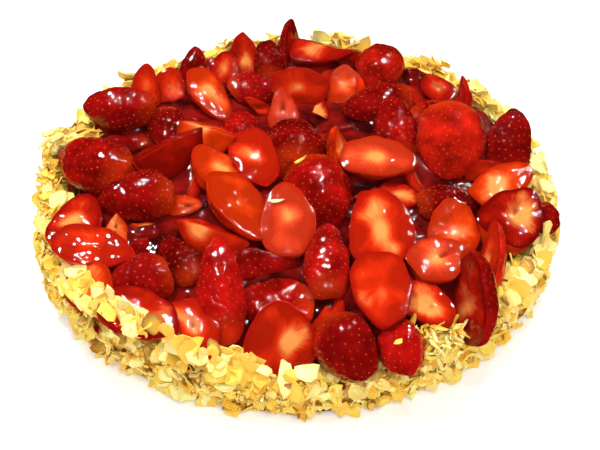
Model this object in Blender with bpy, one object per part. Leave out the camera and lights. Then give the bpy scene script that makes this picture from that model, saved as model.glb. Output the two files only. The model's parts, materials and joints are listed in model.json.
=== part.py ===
"""Strawberry flan: a pastry case clad in flaked almonds, filled with red jelly and
heaped with whole, halved and quartered strawberries.

The origin is the middle of the flat underside, +Z is up and the front faces -Y.
Lengths in this file are in millimetres; meshes are written in metres.
"""

import math
import random
from collections import namedtuple

import bmesh
import bpy
import numpy as np
from mathutils import Matrix, Vector, noise

METRES = 0.001

# Pastry case
CASE_RADIUS = 129.0
CASE_FOOT_RADIUS = 128.0
CASE_FLOOR = 10.0
RIM_HEIGHT = 21.5
RIM_ROUNDING = 2.5
FILL_RADIUS = 114.5
CASE_SIDES = 60
RIM_RIPPLE = 1.2
RIPPLE_LENGTH = 18.0
RIPPLE_SEED = 9.0

# Jelly under and between the berries: a dome, so a plane that touches it cuts nothing off
JELLY_EDGE = 20.5
JELLY_DOME = 11.5
DOME_POWER = 7
JELLY_RINGS = (35.0, 60.0, 80.0, 95.0, 106.0)
JELLY_SIDES = 32

# Clearances: between pieces, round a berry in the rim, and from a sunk berry to the wall
GAP = 0.3
BED_GAP = 0.4
NOTCH_GAP = 0.5
WALL_CLEARANCE = 1.4
NOTCH_REACH = 8.0
WELD_DISTANCE = 0.05

# Almond flakes: size, share of the length that is the width, how much one end is the broader
FLAKE_SEED = 7
FLAKE_LENGTH = (13.0, 18.0)
FLAKE_WIDTH_SHARE = (0.6, 0.75)
FLAKE_THICKNESS = 3.0
FLAKE_SIDES = 6
FLAKE_TAPER = 0.12
FLAKE_REACH = 133.0

# Flakes on the wall: heights of the rows, flakes in each, depth over the crust, lean
WALL_ROWS = (7.5, 16.5)
WALL_FLAKES = 28
WALL_LIFT = (0.2, 1.2)
WALL_LEAN = 0.4

# Flakes on the border: they look up and a little outwards
BORDER_RADIUS = 123.5
BORDER_SCATTER = (-2.0, 3.0)
BORDER_FLAKES = 32
BORDER_LIFT = (0.0, 1.2)
BORDER_LOOK = 0.4
BORDER_LEAN = 0.5

# Flakes on each heap; the crust under a heap rises by CRUST_SHARE of its height
CRUST_SHARE = 0.6
HEAP_FLAKES = 4
HEAP_SCATTER = 3.0
HEAP_LOOK = 0.8
HEAP_LEAN = 1.3

# Heaps of almonds on the border: azimuth in degrees, half width in degrees, height, radius
Heap = namedtuple("Heap", "azimuth spread height radius")
HEAPS = (
    Heap(172, 6, 17, 125),
    Heap(153, 8, 6, 121),
    Heap(104, 6, 6, 122),
    Heap(80, 7, 5, 121),
    Heap(48, 9, 5, 120),
    Heap(36, 6, 6, 121),
    Heap(4, 8, 5, 122),
    Heap(-32, 12, 3, 120),
    Heap(-57, 9, 7, 118),
    Heap(-125, 10, 3, 121),
)

# Berries.  x, y and z place the middle of the piece; heading is the compass of the tip,
# 0 to the right and 90 to the back; tilt lifts the tip; face is where the cut looks.
# Length and width are what shows between the neighbours, so each is made PLUMPNESS larger.
Berry = namedtuple("Berry", "shape x y z heading tilt face length width tone")
FACES = {
    "up": (0.0, -0.15, 1.0),
    "down": (0.0, 0.1, -1.0),
    "front": (0.0, -1.0, 0.75),
    "back": (0.0, 1.0, -0.3),
    "left": (-1.0, -0.3, 0.5),
    "right": (1.0, -0.3, 0.5),
    "front_left": (-0.7, -0.7, 0.7),
    "up_right": (0.5, -0.35, 0.8),
}
LOOSE_BERRIES = (
    # Back rim
    Berry("half", -4, 99, 36, 90, 50, "right", 25, 18, "dark"),
    Berry("half", 14, 98, 35, -10, 5, "up", 32, 25, "red"),
    Berry("half", -15, 92, 36, 90, 20, "down", 24, 19, "dark"),
    Berry("half", -27, 90, 36, 90, 55, "front", 28, 16, "bright"),
    Berry("half", -56, 78, 35, 90, 50, "back", 28, 17, "dark"),
    Berry("half", -79, 65, 35, 90, 40, "front", 25, 16, "bright"),
    Berry("whole", -92, 48, 34, 180, 5, "down", 33, 25, "dark"),
    Berry("whole", 47, 79, 34, -90, 5, "down", 27, 25, "bright"),
    # Second row
    Berry("half", -44, 60, 35, -60, -15, "up_right", 33, 19, "orange"),
    Berry("half", -21, 67, 36, 0, 0, "down", 29, 23, "dark"),
    Berry("half", 3, 66, 35, 0, 5, "front", 27, 21, "bright"),
    Berry("half", 27, 66, 34, 90, 30, "front", 23, 20, "orange"),
    Berry("half", 43, 57, 36, 200, 0, "down", 33, 25, "dark"),
    Berry("half", 76, 46, 34, 0, 0, "down", 30, 23, "red"),
    Berry("half", 52, 32, 37, 95, 20, "down", 36, 22, "red"),
    Berry("half", -31, 34, 35, 90, 10, "down", 27, 21, "red"),
    Berry("half", -6, 47, 34, 90, 30, "front", 24, 15, "salmon"),
    # Right shoulder
    Berry("whole", 78, 19, 37, -90, -20, "down", 38, 34, "bright"),
    Berry("half", 106, 19, 34, 75, 40, "down", 36, 24, "dark"),
    Berry("half", 100, -14, 34, 40, 5, "front_left", 33, 21, "orange"),
    Berry("half", 116, -26, 31, 20, 0, "down", 24, 22, "dark"),
    Berry("half", 102, -38, 34, 60, 10, "up", 34, 28, "dark"),
    Berry("half", 92, -56, 31, 80, 15, "left", 36, 17, "bright"),
    Berry("half", 74, -22, 35, 0, 0, "down", 28, 23, "dark"),
    Berry("half", 75, -42, 34, 90, 25, "front", 29, 23, "orange"),
    # Middle
    Berry("whole", -4, 19, 36, 90, 0, "down", 33, 31, "dark"),
    Berry("half", 23, 15, 34, 100, 15, "right", 28, 20, "orange"),
    Berry("half", 42, 4, 37, -10, 0, "up", 33, 24, "salmon"),
    Berry("half", -66, 35, 34, -80, 0, "down", 30, 19, "dark"),
    Berry("whole", -97, 4, 34, 150, 0, "down", 38, 29, "red"),
    Berry("quarter", -66, 8, 35, 40, 0, "up", 38, 30, "dark"),
    Berry("quarter", -44, 23, 37, -30, 5, "up", 30, 32, "orange"),
    Berry("half", -21, 6, 36, -70, -10, "up", 33, 23, "bright"),
    Berry("half", -36, -4, 35, 120, 5, "up_right", 32, 24, "orange"),
    Berry("whole", -78, -20, 34, 180, 0, "down", 35, 27, "dark"),
    Berry("whole", 10, -18, 36, -70, -5, "down", 38, 32, "red"),
    Berry("half", -28, -32, 37, -65, -5, "up_right", 42, 26, "orange"),
    Berry("half", -4, -40, 38, 92, 15, "up", 36, 25, "salmon"),
    Berry("quarter", -40, -47, 36, 170, 0, "up", 29, 30, "bright"),
    Berry("half", 41, -46, 37, 90, 10, "up", 40, 30, "bright"),
    # Left edge
    Berry("half", -105, -34, 30, 70, 5, "up", 30, 23, "red"),
    Berry("half", -94, -57, 32, -20, 0, "up", 35, 22, "bright"),
    Berry("half", -91, -77, 31, -60, 0, "front", 28, 22, "orange"),
    Berry("half", -70, -94, 30, -30, 0, "up", 37, 24, "red"),
    Berry("half", -46, -104, 29, -70, -5, "up", 31, 22, "bright"),
    # Front
    Berry("half", -55, -59, 36, 120, 0, "down", 31, 23, "dark"),
    Berry("whole", -70, -73, 32, 200, 0, "down", 29, 25, "dark"),
    Berry("half", -35, -84, 36, 97, 25, "down", 47, 21, "red"),
    Berry("half", -14, -66, 35, 0, 0, "down", 38, 22, "dark"),
    Berry("half", 13, -64, 36, 90, 10, "down", 40, 21, "red"),
    Berry("half", -11, -87, 35, 180, 0, "down", 34, 27, "red"),
    Berry("half", -4, -108, 31, 90, 50, "front", 30, 31, "bright"),
    Berry("whole", 23, -112, 31, -60, -10, "down", 29, 27, "dark"),
    Berry("whole", 46, -115, 31, -80, 0, "down", 24, 22, "red"),
    Berry("half", 39, -90, 35, -85, 0, "up", 42, 25, "bright"),
    Berry("half", 58, -90, 32, -50, 0, "up", 27, 20, "bright"),
    Berry("half", 78, -87, 35, -80, -5, "left", 47, 30, "dark"),
    Berry("half", 68, -67, 34, 30, 0, "up", 26, 24, "salmon"),
)
SUNK_BERRIES = (
    # Seen between the others from the front
    Berry("half", -37, 86, 32, 90, 30, "front", 20, 17, "red"),
    Berry("half", -67, 72, 32, 90, 30, "front", 19, 17, "bright"),
    Berry("half", -2, 85, 32, 90, 0, "down", 20, 17, "dark"),
    Berry("half", 25, 84, 33, 0, 0, "down", 18, 18, "red"),
    Berry("half", 56, 67, 31, -30, 0, "up", 22, 14, "bright"),
    Berry("half", 86, 63, 32, 90, 30, "left", 22, 14, "red"),
    Berry("half", -24, 49, 33, 0, 0, "front", 24, 17, "bright"),
    Berry("quarter", 8, 43, 32, 60, 0, "up", 20, 20, "red"),
    Berry("half", 21, 35, 31, 30, 0, "down", 27, 20, "dark"),
    Berry("half", 60, -2, 32, 110, 10, "right", 24, 14, "bright"),
    Berry("half", -87, 30, 29, 170, 0, "down", 30, 21, "dark"),
    Berry("half", -52, -7, 30, 80, 0, "left", 28, 15, "bright"),
    Berry("half", -57, -23, 31, 0, 0, "up", 18, 13, "orange"),
    Berry("half", -46, -24, 29, 90, 0, "down", 16, 13, "red"),
    Berry("half", -16, -12, 31, 80, 0, "down", 20, 15, "dark"),
    Berry("half", 98, 2, 31, 0, 0, "front", 22, 15, "bright"),
    Berry("half", 39, -15, 31, 0, 0, "down", 22, 16, "red"),
    Berry("half", -73, -46, 29, 60, 0, "down", 24, 20, "red"),
    Berry("half", -52, -84, 29, 80, 0, "down", 20, 16, "dark"),
    Berry("quarter", -85, -38, 29, 90, 0, "up", 19, 18, "orange"),
    Berry("quarter", -68, -32, 29, 0, 0, "up", 18, 16, "orange"),
    Berry("half", 15, -91, 30, 70, 0, "front_left", 20, 16, "bright"),
    Berry("half", 23, -72, 31, 60, 0, "down", 22, 18, "red"),
    # Low along the back rim
    Berry("half", -66, 86, 28, 140, 0, "down", 22, 17, "dark"),
    Berry("half", -46, 98, 28, 20, 0, "down", 23, 17, "red"),
    Berry("half", -28, 106, 27, 10, 0, "down", 20, 14, "dark"),
    Berry("half", 36, 102, 28, -20, 0, "down", 22, 16, "red"),
    Berry("half", 63, 86, 28, -40, 0, "down", 24, 19, "dark"),
    Berry("half", 78, 72, 28, 120, 0, "up", 23, 17, "red"),
    Berry("half", 97, 49, 27, -60, 0, "down", 25, 17, "dark"),
    # Low in the hollows of the heap
    Berry("half", -103, -15, 28, 100, 0, "down", 22, 18, "red"),
    Berry("half", -52, 46, 30, 60, 0, "down", 22, 17, "dark"),
    Berry("half", 14, 54, 30, 20, 0, "down", 20, 15, "dark"),
    Berry("half", 62, 59, 30, 60, 0, "down", 18, 14, "red"),
    Berry("half", 27, -36, 30, 80, 0, "down", 20, 15, "dark"),
    Berry("half", 51, -16, 30, -30, 0, "up", 20, 15, "red"),
    Berry("half", 59, -34, 30, 100, 0, "down", 20, 15, "dark"),
    Berry("half", -53, -33, 30, 150, 0, "down", 20, 15, "red"),
)

# Berry bodies: the widest place is at SHOULDER of the length, cuts lie HALF_CUT of the
# width above the middle, and a quarter's two cuts lean QUARTER_ANGLE to each side
PLUMPNESS = 1.13
LOOSE_SIDES = 7
SUNK_SIDES = 6
BERRY_STATIONS = (0.04, 0.34, 0.72)
SHOULDER = 0.36
STALK_FALL = 0.75
TIP_BULGE = 1.2
TIP_ROUNDNESS = 0.8
BERRY_BEND = 0.06
BERRY_FLATNESS = 0.88
BERRY_UNEVENNESS = 0.03
HALF_CUT = 0.04
QUARTER_ANGLE = math.radians(40)

# Settling the heap: an upper berry gives way less, by UPPER_HAND for each millimetre
SETTLE_STEPS = 60
SETTLE_PULL = 0.35
SETTLE_SHARE = 0.3
UPPER_HAND = 0.06
LEAST_SHARE = 0.1
COMPASS_POINTS = 150

# Colours and roughness of the materials
TONES = {
    "dark": (0.25, 0.004, 0.008),
    "red": (0.45, 0.010, 0.008),
    "bright": (0.78, 0.050, 0.010),
    "orange": (0.90, 0.160, 0.020),
    "salmon": (0.85, 0.220, 0.080),
}
ALMOND_COLOUR = (0.76, 0.52, 0.18)
JELLY_COLOUR = (0.16, 0.003, 0.006)
WET_ROUGHNESS = 0.12
ALMOND_ROUGHNESS = 0.6


def clear_scene():
    """Remove every object that the scene holds."""
    for old in list(bpy.data.objects):
        bpy.data.objects.remove(old, do_unlink=True)


def make_material(name, colour, roughness):
    """Return a Principled material of one colour."""
    material = bpy.data.materials.new(name)
    material.use_nodes = True
    shader = material.node_tree.nodes["Principled BSDF"]
    shader.inputs["Base Color"].default_value = (*colour, 1.0)
    shader.inputs["Roughness"].default_value = roughness
    shader.inputs["Metallic"].default_value = 0.0
    return material


def make_object(name, mesh, material=None):
    """Link a new object with the mesh and its material."""
    obj = bpy.data.objects.new(name, mesh)
    bpy.context.collection.objects.link(obj)
    if material is not None:
        mesh.materials.append(material)
    return obj


def mesh_from(bm, name):
    """Turn a bmesh in millimetres into a mesh in metres and free it."""
    bmesh.ops.scale(bm, vec=(METRES, METRES, METRES), verts=bm.verts)
    mesh = bpy.data.meshes.new(name)
    bm.to_mesh(mesh)
    bm.free()
    return mesh


def hull_of(points):
    """Return the convex hull of some points as a bmesh of triangles."""
    bm = bmesh.new()
    for point in points:
        bm.verts.new(point)
    bmesh.ops.remove_doubles(bm, verts=bm.verts, dist=WELD_DISTANCE)
    bmesh.ops.convex_hull(bm, input=bm.verts, use_existing_faces=False)
    inside = [v for v in bm.verts if not v.link_faces]
    bmesh.ops.delete(bm, geom=inside, context="VERTS")
    bmesh.ops.recalc_face_normals(bm, faces=bm.faces)
    if bm.calc_volume(signed=True) < 0.0:
        bmesh.ops.reverse_faces(bm, faces=bm.faces)
    return bm


def sliced(points, origin, normal):
    """Return the corners of a convex body after the part beyond a plane is cut off."""
    bm = hull_of(points)
    bmesh.ops.bisect_plane(
        bm,
        geom=bm.verts[:] + bm.edges[:] + bm.faces[:],
        plane_co=origin,
        plane_no=normal,
        clear_outer=True,
    )
    corners = np.array([tuple(v.co) for v in bm.verts])
    bm.free()
    return corners


def berry_radius(t):
    """Radius at t along a berry, 0 at the stalk end and 1 at the tip, its widest being 1."""
    if t < SHOULDER:
        return math.sqrt(1.0 - STALK_FALL * ((SHOULDER - t) / SHOULDER) ** 2)
    on_the_way = ((t - SHOULDER) / (1.0 - SHOULDER)) ** TIP_BULGE
    return math.cos(0.5 * math.pi * on_the_way) ** TIP_ROUNDNESS


def berry_points(berry, sides, rng):
    """Corners of a whole berry about its own axis, which runs along +X to the tip."""
    length = berry.length * PLUMPNESS
    width = berry.width * PLUMPNESS
    points = [(0.5 * length, 0.0, 0.0)]
    bend = rng.uniform(-BERRY_BEND, BERRY_BEND) * width
    for t in BERRY_STATIONS:
        x = (t - 0.5) * length
        shift = bend * (1.0 - 4.0 * (t - 0.5) ** 2)
        for side in range(sides):
            angle = 2.0 * math.pi * (side + 0.5) / sides
            radius = 0.5 * width * berry_radius(t)
            radius *= 1.0 + rng.uniform(-BERRY_UNEVENNESS, BERRY_UNEVENNESS)
            y = radius * math.cos(angle) + shift
            z = radius * math.sin(angle) * BERRY_FLATNESS
            points.append((x, y, z))
    return np.array(points)


def cut_normals(shape):
    """Directions, about the berry's own axis, that its cut faces look in."""
    if shape == "half":
        return [(0.0, 0.0, 1.0)]
    if shape == "quarter":
        lean = math.sin(QUARTER_ANGLE)
        rise = math.cos(QUARTER_ANGLE)
        return [(0.0, lean, rise), (0.0, -lean, rise)]
    return []


def turn_to(heading, tilt, face):
    """Rotation that points +X along the heading and +Z as near the face as it can."""
    along = Vector((1.0, 0.0, 0.0))
    along.rotate(Matrix.Rotation(math.radians(-tilt), 3, "Y"))
    along.rotate(Matrix.Rotation(math.radians(heading), 3, "Z"))
    look = Vector(FACES[face])
    up = (look - along * look.dot(along)).normalized()
    side = up.cross(along)
    return np.array([along, side, up]).T


class Piece:
    """One berry as the corners of a convex body about its middle, and where that middle is."""

    def __init__(self, berry, sides, rng):
        self.tone = berry.tone
        self.shape = berry.shape
        points = berry_points(berry, sides, rng)
        for normal in cut_normals(berry.shape):
            offset = Vector(normal) * HALF_CUT * berry.width
            points = sliced(points, offset, normal)
        points = points @ turn_to(berry.heading, berry.tilt, berry.face).T
        middle = 0.5 * (points.min(axis=0) + points.max(axis=0))
        self.corners = points - middle
        self.home = np.array([berry.x, berry.y, berry.z], dtype=float)
        self.place = self.home.copy()

    def points(self):
        """Corners where the berry lies."""
        return self.corners + self.place

    def trim(self, origin, normal):
        """Flatten the berry against a plane."""
        kept = sliced(self.points(), origin, normal)
        self.corners = kept - self.place


def compass():
    """Directions spread evenly over a sphere, each followed later by its opposite."""
    golden = math.pi * (3.0 - math.sqrt(5.0))
    half = []
    for i in range(COMPASS_POINTS):
        z = 1.0 - (i + 0.5) / COMPASS_POINTS
        flat = math.sqrt(1.0 - z * z)
        half.append((flat * math.cos(golden * i), flat * math.sin(golden * i), z))
    half = np.array(half)
    return np.concatenate([half, -half])


def reach(pieces, directions):
    """How far each berry reaches from its middle in each direction."""
    return np.array([(piece.corners @ directions.T).max(axis=0) for piece in pieces])


def overlaps(places, spans, directions):
    """Shallowest overlap of every pair, and the direction from the first to the second."""
    opposite = np.roll(spans, COMPASS_POINTS, axis=1)
    along = places @ directions.T
    depth = (along + spans)[:, None, :] - (along - opposite)[None, :, :] + GAP
    choice = depth.argmin(axis=2)
    return depth.min(axis=2), choice


def settle(pieces):
    """Ease overlapping berries apart, while each is drawn back to its own place."""
    directions = compass()
    spans = reach(pieces, directions)
    homes = np.array([piece.home for piece in pieces])
    places = homes.copy()
    for _ in range(SETTLE_STEPS):
        depth, choice = overlaps(places, spans, directions)
        np.fill_diagonal(depth, 0.0)
        push = np.maximum(depth, 0.0)[:, :, None] * directions[choice]
        places = places - SETTLE_SHARE * push.sum(axis=1)
        places += SETTLE_PULL * (homes - places)
    for piece, place in zip(pieces, places):
        piece.place = place


def press_flat(pieces):
    """Flatten berries where they still press on each other, leaving a gap between."""
    directions = compass()
    for i, first in enumerate(pieces):
        for second in pieces[i + 1:]:
            ahead = (first.points() @ directions.T).max(axis=0)
            behind = (second.points() @ directions.T).min(axis=0)
            depth = ahead - behind + GAP
            best = int(depth.argmin())
            if depth[best] <= 0.0:
                continue
            normal = directions[best]
            share = 0.5 + UPPER_HAND * (first.place[2] - second.place[2])
            share = min(1.0 - LEAST_SHARE, max(LEAST_SHARE, share))
            middle = share * ahead[best] + (1.0 - share) * behind[best]
            first.trim(normal * (middle - 0.5 * GAP), normal)
            second.trim(normal * (middle + 0.5 * GAP), -normal)


def jelly_level(radius):
    """Height of the jelly at a distance from the middle."""
    return JELLY_EDGE + JELLY_DOME * (1.0 - (radius / FILL_RADIUS) ** DOME_POWER)


def jelly_slope(radius):
    """Rise of the jelly for each millimetre outwards."""
    return -JELLY_DOME * DOME_POWER * (radius / FILL_RADIUS) ** (DOME_POWER - 1) / FILL_RADIUS


def seat(pieces):
    """Flatten the underside of each berry against the plane that touches the jelly there."""
    for piece in pieces:
        x, y, _ = piece.place
        radius = math.hypot(x, y)
        slope = jelly_slope(radius)
        normal = Vector((-slope * x, -slope * y, radius)).normalized()
        touch = Vector((x, y, jelly_level(radius))) + normal * GAP
        piece.trim(touch, -normal)


def hem_in(pieces):
    """Flatten berries where they would press into the wall of the case."""
    for piece in pieces:
        outward = Vector((piece.place[0], piece.place[1], 0.0)).normalized()
        piece.trim(outward * (FILL_RADIUS - WALL_CLEARANCE), outward)


def berry_object(piece, name, material=None, growth=0.0):
    """Make a berry object, grown outwards all round where it is to cut a notch."""
    bm = hull_of(piece.points())
    if growth:
        for vert in bm.verts:
            vert.co += vert.normal * growth
    return make_object(name, mesh_from(bm, name), material)


def helper_collection(name):
    """Return a new collection for the bodies of one Boolean."""
    group = bpy.data.collections.new(name)
    bpy.context.scene.collection.children.link(group)
    return group


def move_to(obj, group):
    """Keep an object only in the given collection."""
    for old in list(obj.users_collection):
        old.objects.unlink(obj)
    group.objects.link(obj)


def apply_boolean(target, helpers, operation):
    """Join or cut the target with all the helpers at once, then remove them."""
    group = helper_collection(f"{target.name}_{operation.lower()}")
    for helper in helpers:
        move_to(helper, group)
    boolean = target.modifiers.new(operation.title(), "BOOLEAN")
    boolean.operation = operation
    boolean.operand_type = "COLLECTION"
    boolean.collection = group
    boolean.solver = "MANIFOLD"
    bpy.context.view_layer.update()
    evaluated = target.evaluated_get(bpy.context.evaluated_depsgraph_get())
    result = bpy.data.meshes.new_from_object(evaluated)
    target.modifiers.remove(boolean)
    target.data = result
    for helper in list(group.objects):
        bpy.data.objects.remove(helper, do_unlink=True)
    bpy.data.collections.remove(group)


def keep_largest_body(obj):
    """Drop the loose scraps that a Boolean leaves, keeping the body with most faces."""
    bm = bmesh.new()
    bm.from_mesh(obj.data)
    bmesh.ops.triangulate(bm, faces=bm.faces)
    bmesh.ops.remove_doubles(bm, verts=bm.verts, dist=1e-6)
    unseen = set(bm.verts)
    bodies = []
    while unseen:
        front = [unseen.pop()]
        body = list(front)
        while front:
            vert = front.pop()
            for edge in vert.link_edges:
                other = edge.other_vert(vert)
                if other in unseen:
                    unseen.remove(other)
                    front.append(other)
                    body.append(other)
        bodies.append(body)
    bodies.sort(key=len)
    scraps = [vert for body in bodies[:-1] for vert in body]
    bmesh.ops.delete(bm, geom=scraps, context="VERTS")
    bm.to_mesh(obj.data)
    bm.free()


def ripple(x, y):
    """Smooth unevenness of the rim, between -1 and 1, at a place in the plan."""
    return noise.noise(Vector((x / RIPPLE_LENGTH, y / RIPPLE_LENGTH, RIPPLE_SEED)))


def jelly_object(material):
    """Make the bed of jelly, a disc with a domed top."""
    bm = bmesh.new()
    radius = FILL_RADIUS - BED_GAP
    bottom = CASE_FLOOR + GAP
    rings = []
    for ring_radius in JELLY_RINGS + (radius,):
        ring = []
        for side in range(JELLY_SIDES):
            angle = 2.0 * math.pi * side / JELLY_SIDES
            x = ring_radius * math.cos(angle)
            y = ring_radius * math.sin(angle)
            ring.append(bm.verts.new((x, y, jelly_level(ring_radius))))
        rings.append(ring)
    rings.append([bm.verts.new((v.co.x, v.co.y, bottom)) for v in rings[-1]])
    for inner, outer in zip(rings, rings[1:]):
        for side in range(JELLY_SIDES):
            after = (side + 1) % JELLY_SIDES
            bm.faces.new((inner[side], outer[side], outer[after], inner[after]))
    for ring, height in ((rings[0], jelly_level(0.0)), (rings[-1], bottom)):
        centre = bm.verts.new((0.0, 0.0, height))
        for side in range(JELLY_SIDES):
            bm.faces.new((ring[side], ring[(side + 1) % JELLY_SIDES], centre))
    bmesh.ops.triangulate(bm, faces=bm.faces)
    bmesh.ops.recalc_face_normals(bm, faces=bm.faces)
    return make_object("glaze_bed", mesh_from(bm, "glaze_bed"), material)


def border_rise(angle):
    """Height that the almond heaps add to the border at an angle in degrees."""
    rise = 0.0
    for heap in HEAPS:
        away = abs((angle - heap.azimuth + 180.0) % 360.0 - 180.0)
        if away < heap.spread:
            rise = max(rise, heap.height * math.cos(0.5 * math.pi * away / heap.spread))
    return rise


def case_profile():
    """Radius and height of the case's outline, from the middle of the floor to the foot."""
    return (
        (FILL_RADIUS, CASE_FLOOR),
        (FILL_RADIUS, RIM_HEIGHT - RIM_ROUNDING),
        (FILL_RADIUS + RIM_ROUNDING, RIM_HEIGHT),
        (CASE_RADIUS - RIM_ROUNDING, RIM_HEIGHT),
        (CASE_RADIUS, RIM_HEIGHT - RIM_ROUNDING),
        (CASE_RADIUS, 0.5 * RIM_HEIGHT),
        (CASE_FOOT_RADIUS, 0.0),
    )


def case_object(material):
    """Make the pastry case: a thick floor and a rim whose top rises under the heaps."""
    bm = bmesh.new()
    rings = []
    for radius, height in case_profile():
        ring = []
        for side in range(CASE_SIDES):
            degrees = 360.0 * side / CASE_SIDES
            angle = math.radians(degrees)
            r = radius
            z = height
            if radius > FILL_RADIUS and height > 0.0:
                r += RIM_RIPPLE * ripple(radius * math.cos(angle), radius * math.sin(angle))
            if height == RIM_HEIGHT:
                z += CRUST_SHARE * border_rise(degrees)
            ring.append(bm.verts.new((r * math.cos(angle), r * math.sin(angle), z)))
        rings.append(ring)
    for inner, outer in zip(rings, rings[1:]):
        for side in range(CASE_SIDES):
            after = (side + 1) % CASE_SIDES
            bm.faces.new((inner[side], outer[side], outer[after], inner[after]))
    for ring, height in ((rings[0], CASE_FLOOR), (rings[-1], 0.0)):
        centre = bm.verts.new((0.0, 0.0, height))
        for side in range(CASE_SIDES):
            bm.faces.new((ring[side], ring[(side + 1) % CASE_SIDES], centre))
    bmesh.ops.triangulate(bm, faces=bm.faces)
    bmesh.ops.recalc_face_normals(bm, faces=bm.faces)
    return make_object("flan_base", mesh_from(bm, "flan_base"), material)


def flake_points(rng):
    """Corners of one almond flake: a slightly pointed oval, thickest in the middle."""
    length = rng.uniform(*FLAKE_LENGTH)
    width = length * rng.uniform(*FLAKE_WIDTH_SHARE)
    points = [(0.0, 0.0, -0.5 * FLAKE_THICKNESS), (0.0, 0.0, 0.5 * FLAKE_THICKNESS)]
    for side in range(FLAKE_SIDES):
        angle = 2.0 * math.pi * side / FLAKE_SIDES
        x = 0.5 * length * math.cos(angle) * (1.0 + FLAKE_TAPER * math.cos(angle))
        y = 0.5 * width * math.sin(angle)
        points.append((x, y, 0.0))
    return np.array(points)


def lay_flake(place, look, lean, rng):
    """Corners of a flake at a place, looking roughly one way but leaning by chance."""
    chance = Vector([rng.uniform(-lean, lean) for _ in range(3)])
    turn = (look + chance).to_track_quat("Z", "Y").to_matrix()
    spin = Matrix.Rotation(rng.uniform(0.0, 2.0 * math.pi), 3, "Z")
    return flake_points(rng) @ np.array(turn @ spin).T + np.array(place)


def outward_at(degrees):
    """Level direction from the middle of the flan to an azimuth in degrees."""
    return Vector((math.cos(math.radians(degrees)), math.sin(math.radians(degrees)), 0.0))


def wall_flakes(rng):
    """Flakes pressed flat on the wall, in staggered rows."""
    for row, height in enumerate(WALL_ROWS):
        for i in range(WALL_FLAKES):
            out = outward_at(360.0 * (i + 0.5 * (row % 2) + rng.uniform(-0.3, 0.3)) / WALL_FLAKES)
            draft = (CASE_RADIUS - CASE_FOOT_RADIUS) * max(0.0, 1.0 - 2.0 * height / RIM_HEIGHT)
            place = out * (CASE_RADIUS - draft + rng.uniform(*WALL_LIFT))
            place.z = height + rng.uniform(-1.0, 1.0)
            yield lay_flake(place, out, WALL_LEAN, rng)


def border_flakes(rng):
    """Flakes strewn over the border."""
    for i in range(BORDER_FLAKES):
        degrees = 360.0 * (i + rng.uniform(-0.4, 0.4)) / BORDER_FLAKES
        out = outward_at(degrees)
        place = out * (BORDER_RADIUS + rng.uniform(*BORDER_SCATTER))
        place.z = RIM_HEIGHT + CRUST_SHARE * border_rise(degrees) + rng.uniform(*BORDER_LIFT)
        look = out * BORDER_LOOK + Vector((0.0, 0.0, 1.0))
        yield lay_flake(place, look, BORDER_LEAN, rng)


def heap_flakes(rng):
    """Flakes piled on the heaps, from where the crust ends to near the top."""
    for heap in HEAPS:
        for i in range(HEAP_FLAKES):
            degrees = heap.azimuth + heap.spread * rng.uniform(-0.6, 0.6)
            out = outward_at(degrees)
            place = out * (heap.radius + rng.uniform(-HEAP_SCATTER, HEAP_SCATTER))
            share = CRUST_SHARE + 0.3 * (i + 1) / HEAP_FLAKES
            place.z = RIM_HEIGHT + share * border_rise(degrees)
            look = out * HEAP_LOOK + Vector((0.0, 0.0, 1.0))
            yield lay_flake(place, look, HEAP_LEAN, rng)


def kept_outside(points):
    """Move a flake outwards until it clears the filling."""
    radii = np.hypot(points[:, 0], points[:, 1])
    short = FILL_RADIUS + GAP - radii.min()
    if short <= 0.0:
        return points
    outward = points[:, :2].mean(axis=0)
    outward = outward / np.linalg.norm(outward)
    moved = points.copy()
    moved[:, :2] += outward * (short + GAP)
    return moved


def flake_objects(rng):
    """Make the flakes, leaving out any that would reach under the case or far beyond it."""
    made = []
    for points in [*wall_flakes(rng), *border_flakes(rng), *heap_flakes(rng)]:
        points = kept_outside(points)
        radius = np.hypot(points[:, 0], points[:, 1]).max()
        if points[:, 2].min() > GAP and radius < FLAKE_REACH:
            name = f"flake_{len(made)}"
            made.append(make_object(name, mesh_from(hull_of(points), name)))
    return made


def near_rim(piece):
    """Whether a berry reaches out to the almonds on the rim."""
    points = piece.points()
    return bool(np.hypot(points[:, 0], points[:, 1]).max() > FILL_RADIUS - NOTCH_REACH)


def grown_copies(pieces, label):
    """Copies of some berries, grown by the notch gap, to cut the rim with."""
    return [
        berry_object(piece, f"{label}_{i}", growth=NOTCH_GAP) for i, piece in enumerate(pieces)
    ]


def build():
    """Build the flan."""
    clear_scene()
    rng = random.Random(FLAKE_SEED)
    almond = make_material("almond_crust", ALMOND_COLOUR, ALMOND_ROUGHNESS)
    jelly = make_material("red_jelly", JELLY_COLOUR, WET_ROUGHNESS)
    tones = {tone: make_material(f"berry_{tone}", c, WET_ROUGHNESS) for tone, c in TONES.items()}

    loose = [Piece(berry, LOOSE_SIDES, rng) for berry in LOOSE_BERRIES]
    sunk = [Piece(berry, SUNK_SIDES, rng) for berry in SUNK_BERRIES]
    settle(loose + sunk)
    press_flat(loose + sunk)
    seat(loose)
    hem_in(sunk)

    for number, piece in enumerate(loose, start=1):
        berry_object(piece, f"berry_{piece.shape}_{number:02d}", tones[piece.tone])

    bed = jelly_object(jelly)
    apply_boolean(bed, [berry_object(p, f"sunk_{i}") for i, p in enumerate(sunk)], "UNION")
    keep_largest_body(bed)

    base = case_object(almond)
    apply_boolean(base, flake_objects(rng), "UNION")
    apply_boolean(base, grown_copies([p for p in loose if near_rim(p)], "notch"), "DIFFERENCE")
    keep_largest_body(base)


build()
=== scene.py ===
"""Strawberry flan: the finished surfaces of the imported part.

Each piece keeps the form of the solid that it stands for: the berries are rounded from their
solids and get cut faces, dimples and seeds, the jelly lies between them, and the pastry case
is clad in almond flakes set in jam.  Lengths are in metres; those in the tables are in
millimetres.
"""

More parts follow.
